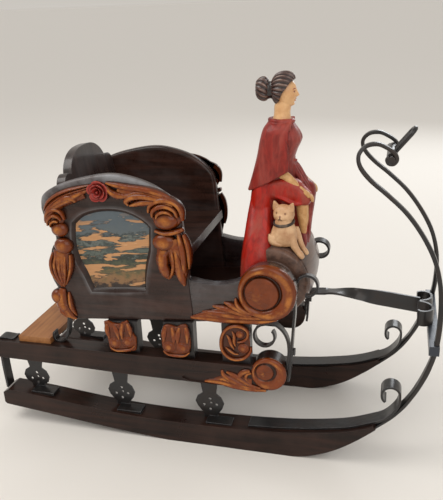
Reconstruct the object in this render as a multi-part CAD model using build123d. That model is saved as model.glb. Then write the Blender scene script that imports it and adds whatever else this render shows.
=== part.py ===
from build123d import *
import os
from math import sin, cos, radians, hypot, sqrt

os.makedirs("parts", exist_ok=True)

# A carved wooden sleigh in small scale: dark stained timber, relief carvings,
# forged iron straps and horns, and a seated lady with a cat on the front roll.
# Millimetres. While building, x runs from the rear runner end (0) to the horns,
# y to the sleigh's left, z up from the floor. NOSE_X centres it at the end.

# Whole sleigh.
LENGTH = 442.1
NOSE_X = LENGTH / 2.0
WIDTH = 146.6
HALF_W = WIDTH / 2.0

# Timber.
RUNNER_T = 24.0
RUNNER_Y = HALF_W - RUNNER_T / 2.0
RAIL_T = 18.6
RAIL_Y = HALF_W - RAIL_T / 2.0
RAIL_TOP = 96.0
RAIL_H = 23.0
RAIL_ROLL_X = 290.0
RAIL_ROLL_R = 16.8
RAIL_ROLL_Z = RAIL_TOP + 9.6 - RAIL_ROLL_R
RAIL_REAR_X = 1.8
POST_T = 11.0
POST_OUT = HALF_W - 5.0
POST_IN = POST_OUT - POST_T

# Body frame.
# The body stands nose up on the level rails by this angle.
BODY_TILT = 4.2
TILT_X = 150.0
TILT_Z = 129.0
BODY_BOTTOM = 129.5
PANEL_T = 10.0
PANEL_IN = HALF_W - 18.0
PANEL_OUT = PANEL_IN + PANEL_T
PANEL_FRONT = 218.0
RECESS_D = 4.0
BOARD_T = 1.6
SEAT_TOP = 202.6
SEAT_T = 8.5
SEAT_FRONT = 222.0
FLOOR_T = 7.0
SCROLL_X = 291.0
SCROLL_Z = 159.3
SCROLL_R = 27.0
SCROLL_OUT = PANEL_OUT + 5.0
BLOCK_HALF = PANEL_IN - 13.0
BLOCK_R_END = 33.0
BLOCK_R_MID = 38.0
CORE_R = 21.5

# Iron.
IRON_W = 8.0
IRON_T = 2.2
STRAP_W = 15.5
STRAP_MID = HALF_W - 13.05
HORN_TOP_Y = 26.0
SHEET_T = 1.2
BAR_T = 9.0
BAR_Z = 123.0


def body_pt(x, z):
    """World x, z of a point given in the body's own level frame."""
    a = radians(BODY_TILT)
    dx = x - TILT_X
    dz = z - TILT_Z
    return (TILT_X + dx * cos(a) - dz * sin(a), TILT_Z + dx * sin(a) + dz * cos(a))


def tilt(shape):
    """Turn a shape from the body's level frame to where it stands."""
    axis = Axis((TILT_X, 0, TILT_Z), (0, 1, 0))
    return shape.rotate(axis, -BODY_TILT)


def plate(face_xz, y0, y1):
    """Solid between two y planes from a face drawn on the XZ plane."""
    lo, hi = min(y0, y1), max(y0, y1)
    return Pos(0, hi, 0) * extrude(face_xz, amount=hi - lo, dir=(0, -1, 0))


def poly(points):
    """Face on XZ from a closed list of x, z corners."""
    return make_face(Plane.XZ * Polyline(*[(x, z) for x, z in points], close=True))


def shape_of(parts):
    """Face on XZ from runs: each run is ('l' or 's', points), joined in order."""
    edges = []
    last = None
    first = None
    for kind, pts in parts:
        run = list(pts)
        if last is not None:
            run = [last] + run
        if first is None:
            first = run[0]
        if kind == "l":
            edges += [e for e in Polyline(*run).edges()]
        else:
            edges.append(Spline(*run))
        last = run[-1]
    if hypot(last[0] - first[0], last[1] - first[1]) > 1e-6:
        edges.append(Line(last, first))
    return make_face(Plane.XZ * Wire(edges))


def offsets(path, half):
    """Left and right x, z point rows of a strip of given half thicknesses."""
    n = len(path)
    left = []
    right = []
    for i in range(n):
        a = path[max(i - 1, 0)]
        b = path[min(i + 1, n - 1)]
        dx = b[0] - a[0]
        dz = b[1] - a[1]
        d = hypot(dx, dz)
        h = half[i] if isinstance(half, (list, tuple)) else half
        left.append((path[i][0] - dz / d * h, path[i][1] + dx / d * h))
        right.append((path[i][0] + dz / d * h, path[i][1] - dx / d * h))
    return left, right


def strip(path, half, y0, y1):
    """Flat bar bent in the XZ plane along a row of points."""
    left, right = offsets(path, half)
    return plate(shape_of([("s", left), ("l", [right[-1]]), ("s", right[::-1][1:])]), y0, y1)


def arc_pts(cx, cz, r0, r1, a0, a1, n):
    """Points of a spiral arc round a centre, angles in degrees."""
    out = []
    for i in range(n + 1):
        t = i / n
        a = radians(a0 + (a1 - a0) * t)
        r = r0 + (r1 - r0) * t
        out.append((cx + r * cos(a), cz + r * sin(a)))
    return out


def mirror_y(shape):
    return mirror(shape, about=Plane.XZ)


PARTS = {}


def put(name, shape):
    """Keep one node, moved so that the sleigh is centred on x."""
    PARTS[name] = Pos(-NOSE_X, 0, 0) * shape


def put_pair(name, shape):
    """Keep a node of the left side (+y) and its mirror on the right."""
    put(name + "_left", shape)
    put(name + "_right", mirror_y(shape))


def above_body():
    """Everything above the body's underside, as a cutter for the posts."""
    return tilt(Pos(TILT_X, 0, BODY_BOTTOM + 100) * Box(700, 300, 200))


# Runners.
SOLE = [(305, 0), (323, 1.6), (338, 6.4), (352, 13), (368.5, 24), (380, 33.2), (390, 42.2)]
RUNNER_TOP = [(387.5, 45.0), (373, 38.9), (357.8, 34.5), (342.3, 31.5), (326.5, 29.0), (291, 25.5)]
RUNNER_TOP += [(251, 23.5), (199, 22.9), (166.7, 23.4), (107.3, 27.2), (65, 31.9), (26, 35.7), (6, 37.2)]
runner_face = shape_of([
    ("l", [(0, 21.5), (2.2, 19.4), (60, 12.8), (120, 5.8), (184, 0), (305, 0)]),
    ("s", SOLE[1:]),
    ("l", [RUNNER_TOP[0]]),
    ("s", RUNNER_TOP[1:]),
    ("l", [(0, 33.5)]),
])
runner = plate(runner_face, RUNNER_Y - RUNNER_T / 2, RUNNER_Y + RUNNER_T / 2)

# Rails.
ROLL_MEET = RAIL_ROLL_X - sqrt(RAIL_ROLL_R ** 2 - (RAIL_TOP - RAIL_ROLL_Z) ** 2)
rail_face = shape_of([
    ("l", [(RAIL_REAR_X, RAIL_TOP - 18.8), (60, RAIL_TOP - 20), (150, RAIL_TOP - RAIL_H)]),
    ("l", [(RAIL_ROLL_X, RAIL_ROLL_Z - RAIL_ROLL_R)]),
    ("s", arc_pts(RAIL_ROLL_X, RAIL_ROLL_Z, RAIL_ROLL_R, RAIL_ROLL_R, -90, 90, 12)[1:]),
    ("s", arc_pts(RAIL_ROLL_X, RAIL_ROLL_Z, RAIL_ROLL_R, RAIL_ROLL_R, 90, 150, 5)[1:] + [(ROLL_MEET, RAIL_TOP)]),
    ("l", [(RAIL_REAR_X, RAIL_TOP)]),
])
rail = plate(rail_face, RAIL_Y - RAIL_T / 2, RAIL_Y + RAIL_T / 2)

# Horn.
HORN = [
    # x, z, share of the way out from the top gap to the strap, width, thickness
    (371.0, 24.8, 1.0, 14.0, 2.6), (381.0, 32.7, 1.0, 14.0, 2.6), (390.0, 40.1, 1.0, 13.6, 2.6),
    (398.7, 47.8, 1.0, 13.0, 2.8), (407.6, 57.0, 1.0, 12.0, 3.0), (416.0, 68.6, 1.0, 11.0, 3.4),
    (422.6, 80.4, 1.0, 10.0, 3.8), (428.3, 93.2, 1.0, 9.0, 4.2), (433.1, 106.0, 0.97, 8.2, 4.5),
    (437.2, 120.6, 0.9, 8.0, 4.5), (439.5, 138.0, 0.77, 7.8, 4.4), (439.9, 158.4, 0.63, 7.6, 4.2),
    (437.8, 179.6, 0.5, 7.4, 4.0), (431.8, 201.0, 0.41, 7.2, 3.8), (420.9, 221.6, 0.36, 7.0, 3.5),
    (406.3, 241.2, 0.34, 6.8, 3.3), (389.0, 257.4, 0.33, 6.6, 3.1), (373.0, 270.0, 0.31, 6.4, 3.0),
    (364.2, 281.0, 0.25, 6.2, 3.0), (362.7, 290.4, 0.15, 6.0, 3.0), (367.8, 297.0, 0.06, 6.0, 3.0),
    (377.4, 298.2, 0.01, 6.0, 3.0), (386.4, 294.9, 0.0, 6.0, 3.0), (392.6, 290.6, 0.0, 6.0, 3.0),
    (395.5, 285.6, 0.0, 6.0, 3.0), (393.4, 281.6, 0.0, 6.0, 3.0), (388.8, 281.6, 0.0, 6.0, 2.8),
    (386.5, 285.4, 0.0, 6.0, 2.6), (388.4, 288.6, 0.0, 6.0, 2.4),
]


def horn_gap(share):
    """Distance of the horn from the middle plane."""
    return HORN_TOP_Y + (STRAP_MID - HORN_TOP_Y) * share


def horn_at(z):
    """x and half gap of the horn where it rises through height z."""
    for a, b in zip(HORN, HORN[1:]):
        if a[1] <= z <= b[1]:
            t = (z - a[1]) / (b[1] - a[1])
            return a[0] + (b[0] - a[0]) * t, horn_gap(a[2] + (b[2] - a[2]) * t)


def horn_section(i):
    """Rectangle across the horn at station i, on a plane square to its run."""
    x, z, share, width, thick = HORN[i]
    a = HORN[max(i - 1, 0)]
    b = HORN[min(i + 1, len(HORN) - 1)]
    run = Vector(b[0] - a[0], horn_gap(b[2]) - horn_gap(a[2]), b[1] - a[1]).normalized()
    side = Vector(0, 1, 0) - run * run.Y
    plane = Plane(origin=(x, horn_gap(share), z), x_dir=side.normalized(), z_dir=run)
    return plane * Rectangle(width, thick)


horn = loft([horn_section(i) for i in range(0, 10)])
horn += loft([horn_section(i) for i in range(9, 20)])
horn += loft([horn_section(i) for i in range(19, len(HORN))])

put_pair("runner", runner - horn)
put_pair("horn", horn)

# Nose strap.
nose_path = [(268, 24.9), (290, 26.4), (315, 28.6), (340, 32.2), (358, 35.6), (372, 39.6), (381, 43.2)]
nose_path += [(388.4, 46.2), (395.4, 49.6), (401.0, 54.4), (405.6, 60.2), (408.8, 66.0)]
nose_path += arc_pts(401.9, 77.2, 8.2, 8.2, -28, 190, 9)[1:] + [(394.6, 72.6), (397.2, 69.8)]
strap = strip(nose_path, IRON_T / 2, STRAP_MID - STRAP_W / 2, STRAP_MID + STRAP_W / 2)
strap = strap - horn
strap = strap - plate(runner_face, 0, 200)
put_pair("nose_strap", strap)

# Cross bar and stay.
HORN_X, HORN_Y = horn_at(BAR_Z)
BAR_X = HORN_X - 1.2
BAR_TOP = BAR_Z + BAR_T / 2
bar = Pos(BAR_X, 0, BAR_Z) * Box(BAR_T, 2 * (HORN_Y + 5.4), BAR_T)
bar = bar - horn - mirror_y(horn)
put("cross_bar", bar)

# The stay lies flat at the body, turns a quarter and stands on edge at the bar.
STAY_W = 15.4
STAY = [
    # x, height over the cross bar, turn in degrees, height share
    (318.0, 21.6, 0, 0.85), (334.0, 22.6, 0, 0.85), (352.0, 23.2, 8, 0.8),
    (362.0, 22.6, 40, 0.72), (372.0, 21.4, 68, 0.8), (384.0, 20.0, 86, 0.95),
    (394.0, 19.0, 90, 1.0), (BAR_X - 13.0, 15.4, 90, 1.0),
]


def stay_section(row):
    """Rectangle across the stay, turned about its run."""
    x, rise, turn, share = row
    run = Vector(1, 0, -0.1).normalized()
    plane = Plane(origin=(x, 0, BAR_Z + rise), x_dir=(0, 1, 0), z_dir=run)
    return plane * Rot(0, 0, turn) * Rectangle(STAY_W * share, IRON_T)


stay = loft([stay_section(r) for r in STAY[:2]], ruled=True)
stay += loft([stay_section(r) for r in STAY[1:7]])
stay += loft([stay_section(r) for r in STAY[6:]], ruled=True)

# Two curls spread from the end of the stay and stand on the cross bar.
curl_pts = [(-13.8, 0.7), (-7.4, 2.6), (-2.6, 7.2), (-0.9, 13.6), (-3.0, 19.6), (-8.6, 22.6), (-14.4, 20.0)]
curl_pts = [(BAR_X + x, y) for x, y in curl_pts]


def curl(points, z0, z1):
    """Upright band bent in plan along x, y points."""
    left, right = offsets(points, IRON_T / 2)
    edges = [Spline(*left), Line(left[-1], right[-1]), Spline(*right[::-1]), Line(right[0], left[0])]
    return Pos(0, 0, z0) * extrude(make_face(Wire(edges)), amount=z1 - z0, dir=(0, 0, 1))


curl_left = curl(curl_pts, BAR_TOP, BAR_TOP + STAY_W)
curls = curl_left + mirror_y(curl_left)
stay = (stay + curls) - bar

# Top roller and loop.
ROLL_EYE = (391.0, 285.4)
roller = Pos(ROLL_EYE[0], 0, ROLL_EYE[1]) * Rot(90, 0, 0) * Cylinder(3.1, 2 * (HORN_TOP_Y + 3))
roller += Pos(ROLL_EYE[0], 0, ROLL_EYE[1]) * Rot(90, 0, 0) * Cylinder(4.8, 2 * (HORN_TOP_Y - 3.3))
roller = roller - horn - mirror_y(horn)
LOOP_HALF = 6.0
LOOP_R = 2.2
p0 = (ROLL_EYE[0] + 2.2, ROLL_EYE[1] + 2.2)
p1 = (405.6, 302.9)
legs = []
for s in (-1, 1):
    a = Vector(p0[0], s * LOOP_HALF, p0[1])
    b = Vector(p1[0], s * LOOP_HALF, p1[1])
    legs.append(Plane(origin=a, z_dir=b - a) * extrude(Circle(LOOP_R), amount=(b - a).length))
run = (Vector(p1[0], 0, p1[1]) - Vector(p0[0], 0, p0[1])).normalized()
bow_plane = Plane(origin=(p1[0], 0, p1[1]), x_dir=(0, 1, 0), z_dir=Vector(0, 1, 0).cross(run))
bow_edge = bow_plane * CenterArc((0, 0), LOOP_HALF, 0, 180)
start = bow_edge @ 0
bow = sweep(Plane(origin=start, z_dir=bow_edge % 0) * Circle(LOOP_R), path=bow_edge)
hand_loop = legs[0] + legs[1] + bow
hand_loop = hand_loop - roller
put("roller", roller)
put("hand_loop", hand_loop)

# Side panels.
panel_face = shape_of([
    ("l", [(88, BODY_BOTTOM), (PANEL_FRONT, BODY_BOTTOM), (PANEL_FRONT, 232)]),
    ("s", [(216, 242), (207, 253.5), (193.8, 263.4), (176, 271), (157, 275.2), (134.9, 274.3),
           (105.3, 268.9), (84.3, 259.2), (79.4, 246)]),
    ("s", [(82, 232), (88.6, 216), (80.5, 202), (75.4, 178), (81, 160), (85, 146), (88, BODY_BOTTOM)]),
])
recess_face = shape_of([
    ("l", [(118.6, 170), (176, 170)]),
    ("s", [(182, 192), (186.5, 212), (188.5, 224)]),
    ("s", [(172, 237.5), (152, 241.8), (130, 237.5), (110.8, 226)]),
    ("s", [(113.4, 210), (116.6, 190), (118.6, 170)]),
])
panel = plate(panel_face, PANEL_IN, PANEL_OUT)
panel = panel - plate(recess_face, PANEL_OUT - RECESS_D, PANEL_OUT + 5)
board = plate(recess_face, PANEL_OUT - RECESS_D, PANEL_OUT - RECESS_D + BOARD_T)
put_pair("side_panel", tilt(panel))
put_pair("picture_board", tilt(board))

# Front side board.
low_face = shape_of([
    ("l", [(PANEL_FRONT, BODY_BOTTOM), (SCROLL_X, SCROLL_Z - SCROLL_R)]),
    ("s", arc_pts(SCROLL_X, SCROLL_Z, SCROLL_R, SCROLL_R, -90, 90, 10)[1:]),
    ("s", arc_pts(SCROLL_X, SCROLL_Z, SCROLL_R, SCROLL_R, 90, 153, 5)[1:]),
    ("s", [(256, 168.6), (243, 167.2), (230, 169), (PANEL_FRONT, 172.6)]),
])
low_board = plate(low_face, PANEL_IN, PANEL_OUT)

# Floor, seat, back.
floor_board = Pos((92 + 268) / 2, 0, BODY_BOTTOM + FLOOR_T / 2) * Box(268 - 92, 2 * PANEL_IN, FLOOR_T)
seat = Pos((112 + SEAT_FRONT) / 2, 0, SEAT_TOP - SEAT_T / 2)
seat = seat * Box(SEAT_FRONT - 112, 2 * PANEL_IN, SEAT_T)
BACK_LEAN = 4.0
BACK_T = 9.0
BACK_K = PANEL_IN / 48.0
back_pts = [
    ("l", [(-PANEL_IN, BODY_BOTTOM + FLOOR_T), (PANEL_IN, BODY_BOTTOM + FLOOR_T), (PANEL_IN, 262)]),
    ("s", [(47.2 * BACK_K, 268), (40.5 * BACK_K, 274), (33.5 * BACK_K, 272.4)]),
    ("s", [(30 * BACK_K, 280), (20 * BACK_K, 289), (0, 293), (-20 * BACK_K, 289), (-30 * BACK_K, 280),
           (-33.5 * BACK_K, 272.4)]),
    ("s", [(-40.5 * BACK_K, 274), (-47.2 * BACK_K, 268), (-PANEL_IN, 262)]),
]


def back_face():
    edges = []
    last = None
    for kind, pts in back_pts:
        run = list(pts)
        if last is not None:
            run = [last] + run
        if kind == "l":
            edges += [e for e in Polyline(*run).edges()]
        else:
            edges.append(Spline(*run))
        last = run[-1]
    edges.append(Line(last, back_pts[0][1][0]))
    return make_face(Plane.YZ * Wire(edges))


back = Pos(100, 0, 0) * extrude(back_face(), amount=BACK_T)
back = back.rotate(Axis((112, 0, SEAT_TOP), (0, 1, 0)), -BACK_LEAN)
back = back & (Pos(100, 0, BODY_BOTTOM + FLOOR_T + 100) * Box(200, 2 * PANEL_IN, 200))
seat = seat - back
put("floor_board", tilt(floor_board))
put("back_board", tilt(back))

# Front roll.
core = Pos(SCROLL_X, 0, SCROLL_Z) * Rot(90, 0, 0) * Cylinder(CORE_R, 2 * PANEL_IN)
half_barrel = make_face(Polyline(
    (0, -BLOCK_HALF), (BLOCK_R_END, -BLOCK_HALF), (BLOCK_R_MID - 1.5, -BLOCK_HALF * 0.6),
    (BLOCK_R_MID, -6), (BLOCK_R_MID, 6), (BLOCK_R_MID - 1.5, BLOCK_HALF * 0.6),
    (BLOCK_R_END, BLOCK_HALF), (0, BLOCK_HALF), close=True))
barrel = Pos(SCROLL_X, 0, SCROLL_Z) * revolve(half_barrel, Axis.Y)
barrel = barrel & (Pos(SCROLL_X + 40, 0, SCROLL_Z) * Box(110, 2 * PANEL_IN, 120))
roll = core + barrel
roll = roll & (Pos(SCROLL_X, 0, BODY_BOTTOM + 60) * Box(200, 200, 120))
roll = roll - floor_board
put("front_roll", tilt(roll))
put("stay", stay - tilt(roll))
put("seat_board", tilt(seat))

# Posts.
POSTS = [
    # rear x, front x
    (128, 160),
    (187, 217),
    (245, 272),
]
post_set = []
for x0, x1 in POSTS:
    block = Pos((x0 + x1) / 2, (POST_IN + POST_OUT) / 2, RAIL_TOP + 22) * Box(x1 - x0, POST_T, 44)
    post_set.append(block - above_body())
put_pair("posts", Compound(post_set))

# Front straps.
SPLAY = 9.5
strap_path = [(307.9, 79), (309.0, 92), (310.0, 108), (311.0, 130), (312.0, 150), (312.6, 166)]
ring_path = arc_pts(322.6, 172.6, 9.6, 9.6, 195, -98, 12)
STRAP_Y = PANEL_IN - 4.6
strap_axis = Axis((0, STRAP_Y, 160), (1, 0, 0))
front = strip(strap_path + ring_path, IRON_T / 2, STRAP_Y - 4, STRAP_Y + 4)
front = front.rotate(strap_axis, SPLAY)
arc_path = [(306.2, 90), (307.2, 102), (307.4, 112), (304.6, 123), (297.6, 131.2), (288.6, 134.2)]
arc_path += arc_pts(285.0, 121.4, 11.6, 8.4, 92, 400, 16)
arc_band = strip(arc_path, IRON_T / 2, STRAP_Y - 4, STRAP_Y + 4)
arc_band = arc_band.rotate(strap_axis, SPLAY)
arc_band = arc_band - front
bolt = Pos(307.6, STRAP_Y + 8.6, 108.5) * Rot(0, 90, 0) * (Pos(0, 0, 3.6) * Cylinder(3.6, 4.2))
bolt = bolt - front
put_pair("front_strap", front)
put_pair("front_side_board", tilt(low_board) - front)
put_pair("arc_strap", arc_band - tilt(low_board))
put_pair("strap_bolt", bolt)

# Sheet brackets.
# Each stands on an outward foot, narrows to a waist and rolls outward under the rail.
BRACKET_Y = HALF_W - 16.0
FOOT_D = 13.0
HEAD_R = 3.2
BRACKETS = [
    # x, foot z, head z, half width at head
    (34.0, 35.0, RAIL_TOP - 19.4, 12.5),
    (131.5, 25.2, RAIL_TOP - 22.5, 12.5),
    (227.0, 23.2, RAIL_TOP - 23.2, 12.5),
]
bracket_set = []
for bx, zf, zh, hw in BRACKETS:
    mid = (zf + zh) / 2
    low = mid - 9.0
    outline = Polyline(
        (bx - hw, zh - 1), (bx + hw, zh - 1), (bx + hw, zh - 5), (bx + 8.4, zh - 9), (bx + 6.6, mid + 3),
        (bx + 11.5, mid - 1), (bx + 14.4, low + 1), (bx + 12.4, low - 5), (bx + 7.6, zf + 4), (bx + 7.2, zf - 2),
        (bx - 6.4, zf - 2), (bx - 7.0, zf + 4), (bx - 13.0, low - 4), (bx - 15.4, low + 2), (bx - 13.0, mid - 1),
        (bx - 7.4, mid + 3), (bx - 9.4, zh - 9), (bx - hw, zh - 5), close=True)
    sheet = plate(make_face(Plane.XZ * outline), BRACKET_Y - SHEET_T / 2, BRACKET_Y + SHEET_T / 2)
    for hx, hz, hr in ((0, 5.6, 1.5), (-6.4, -1.8, 1.4), (1.0, 1.0, 1.2), (6.6, -0.8, 1.4), (0, -6.4, 1.4)):
        sheet -= Pos(bx + hx, BRACKET_Y, low + hz) * Rot(90, 0, 0) * Cylinder(hr, 6)
    head = Pos(bx, BRACKET_Y + HEAD_R - SHEET_T / 2, zh - HEAD_R) * Rot(0, 90, 0) * Cylinder(HEAD_R, 2 * hw)
    head -= Pos(bx, BRACKET_Y + HEAD_R - SHEET_T / 2, zh - HEAD_R) * Rot(0, 90, 0) * Cylinder(HEAD_R - SHEET_T, 90)
    foot_plate = Pos(bx + 11, BRACKET_Y + FOOT_D / 2 - SHEET_T / 2, zf) * Box(26, FOOT_D, 3.6)
    toe = Pos(bx + 1, BRACKET_Y, zf) * Box(15, SHEET_T, 3.6)
    bracket_set.append((sheet + head + foot_plate + toe) - runner - rail)
put_pair("bracket", Compound(bracket_set))

# Foot board.
FOOT_REAR = 27.0
FOOT_FRONT = 63.0
foot = Pos((FOOT_REAR + FOOT_FRONT) / 2, 0, RAIL_TOP + 3.2)
foot = foot * Box(FOOT_FRONT - FOOT_REAR, 2 * (HALF_W - 4.5), 6.4)
put("foot_board", foot)

# Rear strap and loop.
rear_path = [(20, RAIL_TOP + 1.0), (8, RAIL_TOP + 1.0), (2.6, RAIL_TOP), (1.2, RAIL_TOP - 5)]
rear_path += [(1.2, 80), (1.3, 66), (1.8, 50), (2.4, 36.6)]
REAR_W = 12.0
REAR_Y = HALF_W - 11.3
rear_strap = strip(rear_path, 1.0, REAR_Y - REAR_W / 2, REAR_Y + REAR_W / 2)
rear_strap = rear_strap - rail - runner
put_pair("rear_strap", rear_strap)
loop_path = [(FOOT_FRONT + 24.6, 136), (FOOT_FRONT + 21.1, 122.8), (FOOT_FRONT + 19.6, 114)]
loop_path += [(FOOT_FRONT + 16.6, 104), (FOOT_FRONT + 12.6, 98.8), (FOOT_FRONT + 7.4, 97.2)]
loop_path += [(FOOT_FRONT + 3.4, 99.0), (FOOT_FRONT + 1.9, 103.4), (FOOT_FRONT + 2.9, 107.6)]
rear_loop = strip(loop_path, IRON_T / 2, PANEL_IN + 1, PANEL_IN + 9)
rear_loop = rear_loop - tilt(panel) - tilt(floor_board) - rail
put_pair("rear_loop", rear_loop)

# Scroll carvings.
def disc(cx, cz, r, y0, y1):
    """Round disc facing along y."""
    return Pos(cx, (y0 + y1) / 2, cz) * Rot(90, 0, 0) * Cylinder(r, abs(y1 - y0))


def spiral_relief(cx, cz, r, y0, depth, tail):
    """Carved volute: outer band, sunk channel, raised round eye, and a leaf tail."""
    base = disc(cx, cz, r, y0, y0 + depth)
    ring = []
    for i in range(13):
        a = radians(-100 + 30 * i)
        rr = r * (0.62 - 0.012 * i)
        ring.append((cx - 0.06 * r + rr * cos(a), cz + rr * sin(a)))
    channel = disc(cx - 0.08 * r, cz, r * 0.66, y0 + depth * 0.45, y0 + depth + 2)
    eye = disc(cx - 0.1 * r, cz - 0.02 * r, r * 0.54, y0 + depth * 0.4, y0 + depth * 0.95)
    leaf = plate(poly(tail), y0, y0 + depth * 0.75)
    return (base + leaf) - channel + eye


big_tail = [(SCROLL_X - 4, SCROLL_Z - SCROLL_R), (PANEL_FRONT + 1, BODY_BOTTOM + 2.4),
            (PANEL_FRONT + 1, BODY_BOTTOM + 9), (PANEL_FRONT + 12, BODY_BOTTOM + 15),
            (PANEL_FRONT + 22, BODY_BOTTOM + 17), (PANEL_FRONT + 31, BODY_BOTTOM + 21),
            (PANEL_FRONT + 42, BODY_BOTTOM + 21), (PANEL_FRONT + 51, BODY_BOTTOM + 25),
            (SCROLL_X - 16, SCROLL_Z - 6)]
big_scroll = spiral_relief(SCROLL_X, SCROLL_Z, SCROLL_R, PANEL_OUT, 5.0, big_tail)
put_pair("scroll_carving", tilt(big_scroll))

rail_tail = [(RAIL_ROLL_X - 2, RAIL_ROLL_Z - RAIL_ROLL_R), (240, 72.4), (212, 73.4), (204, 76.5),
             (208, 81.5), (222, 83.5), (238, 88), (246, 91), (262, 95), (RAIL_ROLL_X - 10, RAIL_ROLL_Z + 4)]
rail_carve = spiral_relief(RAIL_ROLL_X, RAIL_ROLL_Z, RAIL_ROLL_R, HALF_W - 1.6, 1.6, rail_tail)
carve_bed = disc(RAIL_ROLL_X, RAIL_ROLL_Z, RAIL_ROLL_R + 0.01, HALF_W - 1.6, HALF_W + 2)
carve_bed += plate(poly(rail_tail), HALF_W - 1.6, HALF_W + 2)
put_pair("rail", rail - front - arc_band - carve_bed)
put_pair("rail_carving", rail_carve)

# Post carvings.
LEAF = [
    # x from the post's middle, height over the rail: outline of the carved palm leaf
    (-17.6, 32.0), (-12.0, 31.0), (-5.0, 29.4), (2.0, 31.0), (9.6, 34.0), (12.4, 28.0), (15.6, 20.0),
    (15.8, 11.8), (14.4, 4.2), (11.8, 2.2), (0, 0.4), (-13.2, 0.8), (-14.6, 7.0), (-15.6, 15.0), (-16.4, 24.0),
]
carve_set = []
for x0, x1 in POSTS[:2]:
    cx = (x0 + x1) / 2 - 1
    leaf = plate(poly([(cx + x, RAIL_TOP + z) for x, z in LEAF]), POST_OUT, POST_OUT + 3.4)
    for sx in (-8.0, 0, 8.0):
        leaf += disc(cx + sx, RAIL_TOP + 6.4, 5.6, POST_OUT, POST_OUT + 4.4)
    carve_set.append(leaf - above_body())
put_pair("post_carving", Compound(carve_set))
MED_X = 258.2
MED_Z = RAIL_TOP + 21.4
med_face = Pos(MED_X, 0, MED_Z) * (Plane.XZ * Ellipse(14.3, 18.2))
med = plate(med_face, POST_OUT, POST_OUT + 4.0)
for sx, sz, r in ((5.0, 8.4, 5.6), (5.0, -8.4, 5.6), (-6.4, 0, 5.0)):
    med -= disc(MED_X + sx, MED_Z + sz, r, POST_OUT + 2.4, POST_OUT + 7)
    med += disc(MED_X + sx, MED_Z + sz, r * 0.6, POST_OUT + 2.0, POST_OUT + 3.8)
put_pair("medallion", med - above_body())

# Panel carvings.
def lump(cx, cz, a, b, h):
    """Low carved dome of half sizes a, b standing h off the panel face."""
    base = Pos(cx, PANEL_OUT, cz) * Rot(-90, 0, 0)
    return base * scale(Sphere(1.0) & (Pos(0, 0, 1) * Box(4, 4, 2)), by=(a, b, h))


bulbs = [
    # x, z, half width, half height, stand-off
    (204.5, 228.0, 14.0, 17.5, 7.9),
    (203.5, 203.5, 11.0, 12.5, 7.6),
    (98.0, 226.5, 9.4, 10.0, 7.0),
    (96.4, 207.0, 9.4, 9.8, 7.0),
]
carv = [lump(*b) for b in bulbs]
rose = Pos(144.5, PANEL_OUT, 264.4) * Rot(-90, 0, 0) * Cone(10.6, 5.0, 6.0, align=(Align.CENTER, Align.CENTER, Align.MIN))
leaves = [
    [(84, 243), (81.5, 252), (87, 259.4), (106, 268.6), (120, 271.5), (134, 273.3), (133.6, 266), (120, 262),
     (121, 255), (114, 246), (104, 240), (92, 237)],
    [(155.2, 274), (176, 270.2), (193.8, 262.6), (206, 252.8), (212, 246), (203, 246.4), (196, 251), (186, 249),
     (178, 249.5), (170, 254), (156, 262)],
    [(209, 192), (214, 190), (216.6, 176), (212, 164), (206, 172), (203, 188)],
    [(200, 191), (205, 190), (203, 176), (200.5, 164), (194, 178)],
    [(90.5, 197), (101, 197), (98.6, 183), (92, 166), (86.4, 182)],
    [(77.5, 168), (86, 165), (92, 152), (93, 141), (84, 138), (76.5, 152)],
]
for row in leaves:
    carv.append(plate(poly(row), PANEL_OUT, PANEL_OUT + 5.0))
garland = carv[0]
for c in carv[1:]:
    garland = garland + c
garland = garland - rose
put_pair("panel_carving", tilt(garland))
put_pair("rose", tilt(rose))

# Seated lady.
GOWN = [
    # z, rear x, front x, half breadth
    (142.6, 249.6, 264.4, 18.7), (166.9, 251.4, 277.6, 20.8), (188.2, 253.5, 281.8, 21.3),
    (204.8, 255.9, 282.4, 21.3), (220.9, 258.0, 284.5, 21.3), (234.7, 260.6, 286.1, 21.5),
    (249.9, 263.6, 288.7, 21.3), (260.0, 266.4, 290.7, 19.2),
]
BODICE = [
    # z, rear x, front x, half breadth
    (260.0, 266.4, 304.9, 17.2), (275.2, 271.5, 303.7, 16.6), (286.7, 273.5, 306.1, 17.0),
    (298.2, 276.6, 310.9, 18.2), (304.4, 278.6, 308.1, 16.6), (310.5, 280.6, 303.8, 12.8),
    (315.1, 282.6, 301.1, 8.1),
]
LAP = [
    # x, z of the middle, half breadth, half height
    (277.6, 248.9, 20.7, 9.1), (288.7, 251.3, 21.3, 10.3), (299.8, 250.5, 21.3, 11.5),
    (310.0, 246.5, 19.8, 9.3), (320.1, 242.4, 16.2, 4.3),
]
CAPE = [
    # rear x, rear z, front x, front z, half breadth: each ring dips to the back
    (280.2, 315.7, 302.5, 315.7, 8.7), (277.8, 311.3, 300.7, 311.1, 13.8),
    (274.5, 306.2, 300.0, 305.4, 17.8), (271.7, 296.2, 299.4, 298.1, 19.8),
    (269.1, 282.9, 299.4, 289.0, 21.1), (265.6, 269.8, 299.8, 281.5, 21.9),
    (259.4, 249.5, 301.1, 271.6, 22.9),
]


def ring(z, rear, front, half, cy=0.0):
    """Level ellipse of a figure at height z."""
    return Pos((rear + front) / 2, cy, z) * Ellipse((front - rear) / 2, half)


def dipped_ring(rear, rear_z, front, front_z, half):
    """Ellipse whose plane dips from the front to the back."""
    mid = ((rear + front) / 2, 0, (rear_z + front_z) / 2)
    fore = Vector(front - rear, 0, front_z - rear_z)
    plane = Plane(origin=mid, x_dir=fore, z_dir=fore.cross(Vector(0, 1, 0)))
    return plane * Ellipse(fore.length / 2, half)


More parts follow.
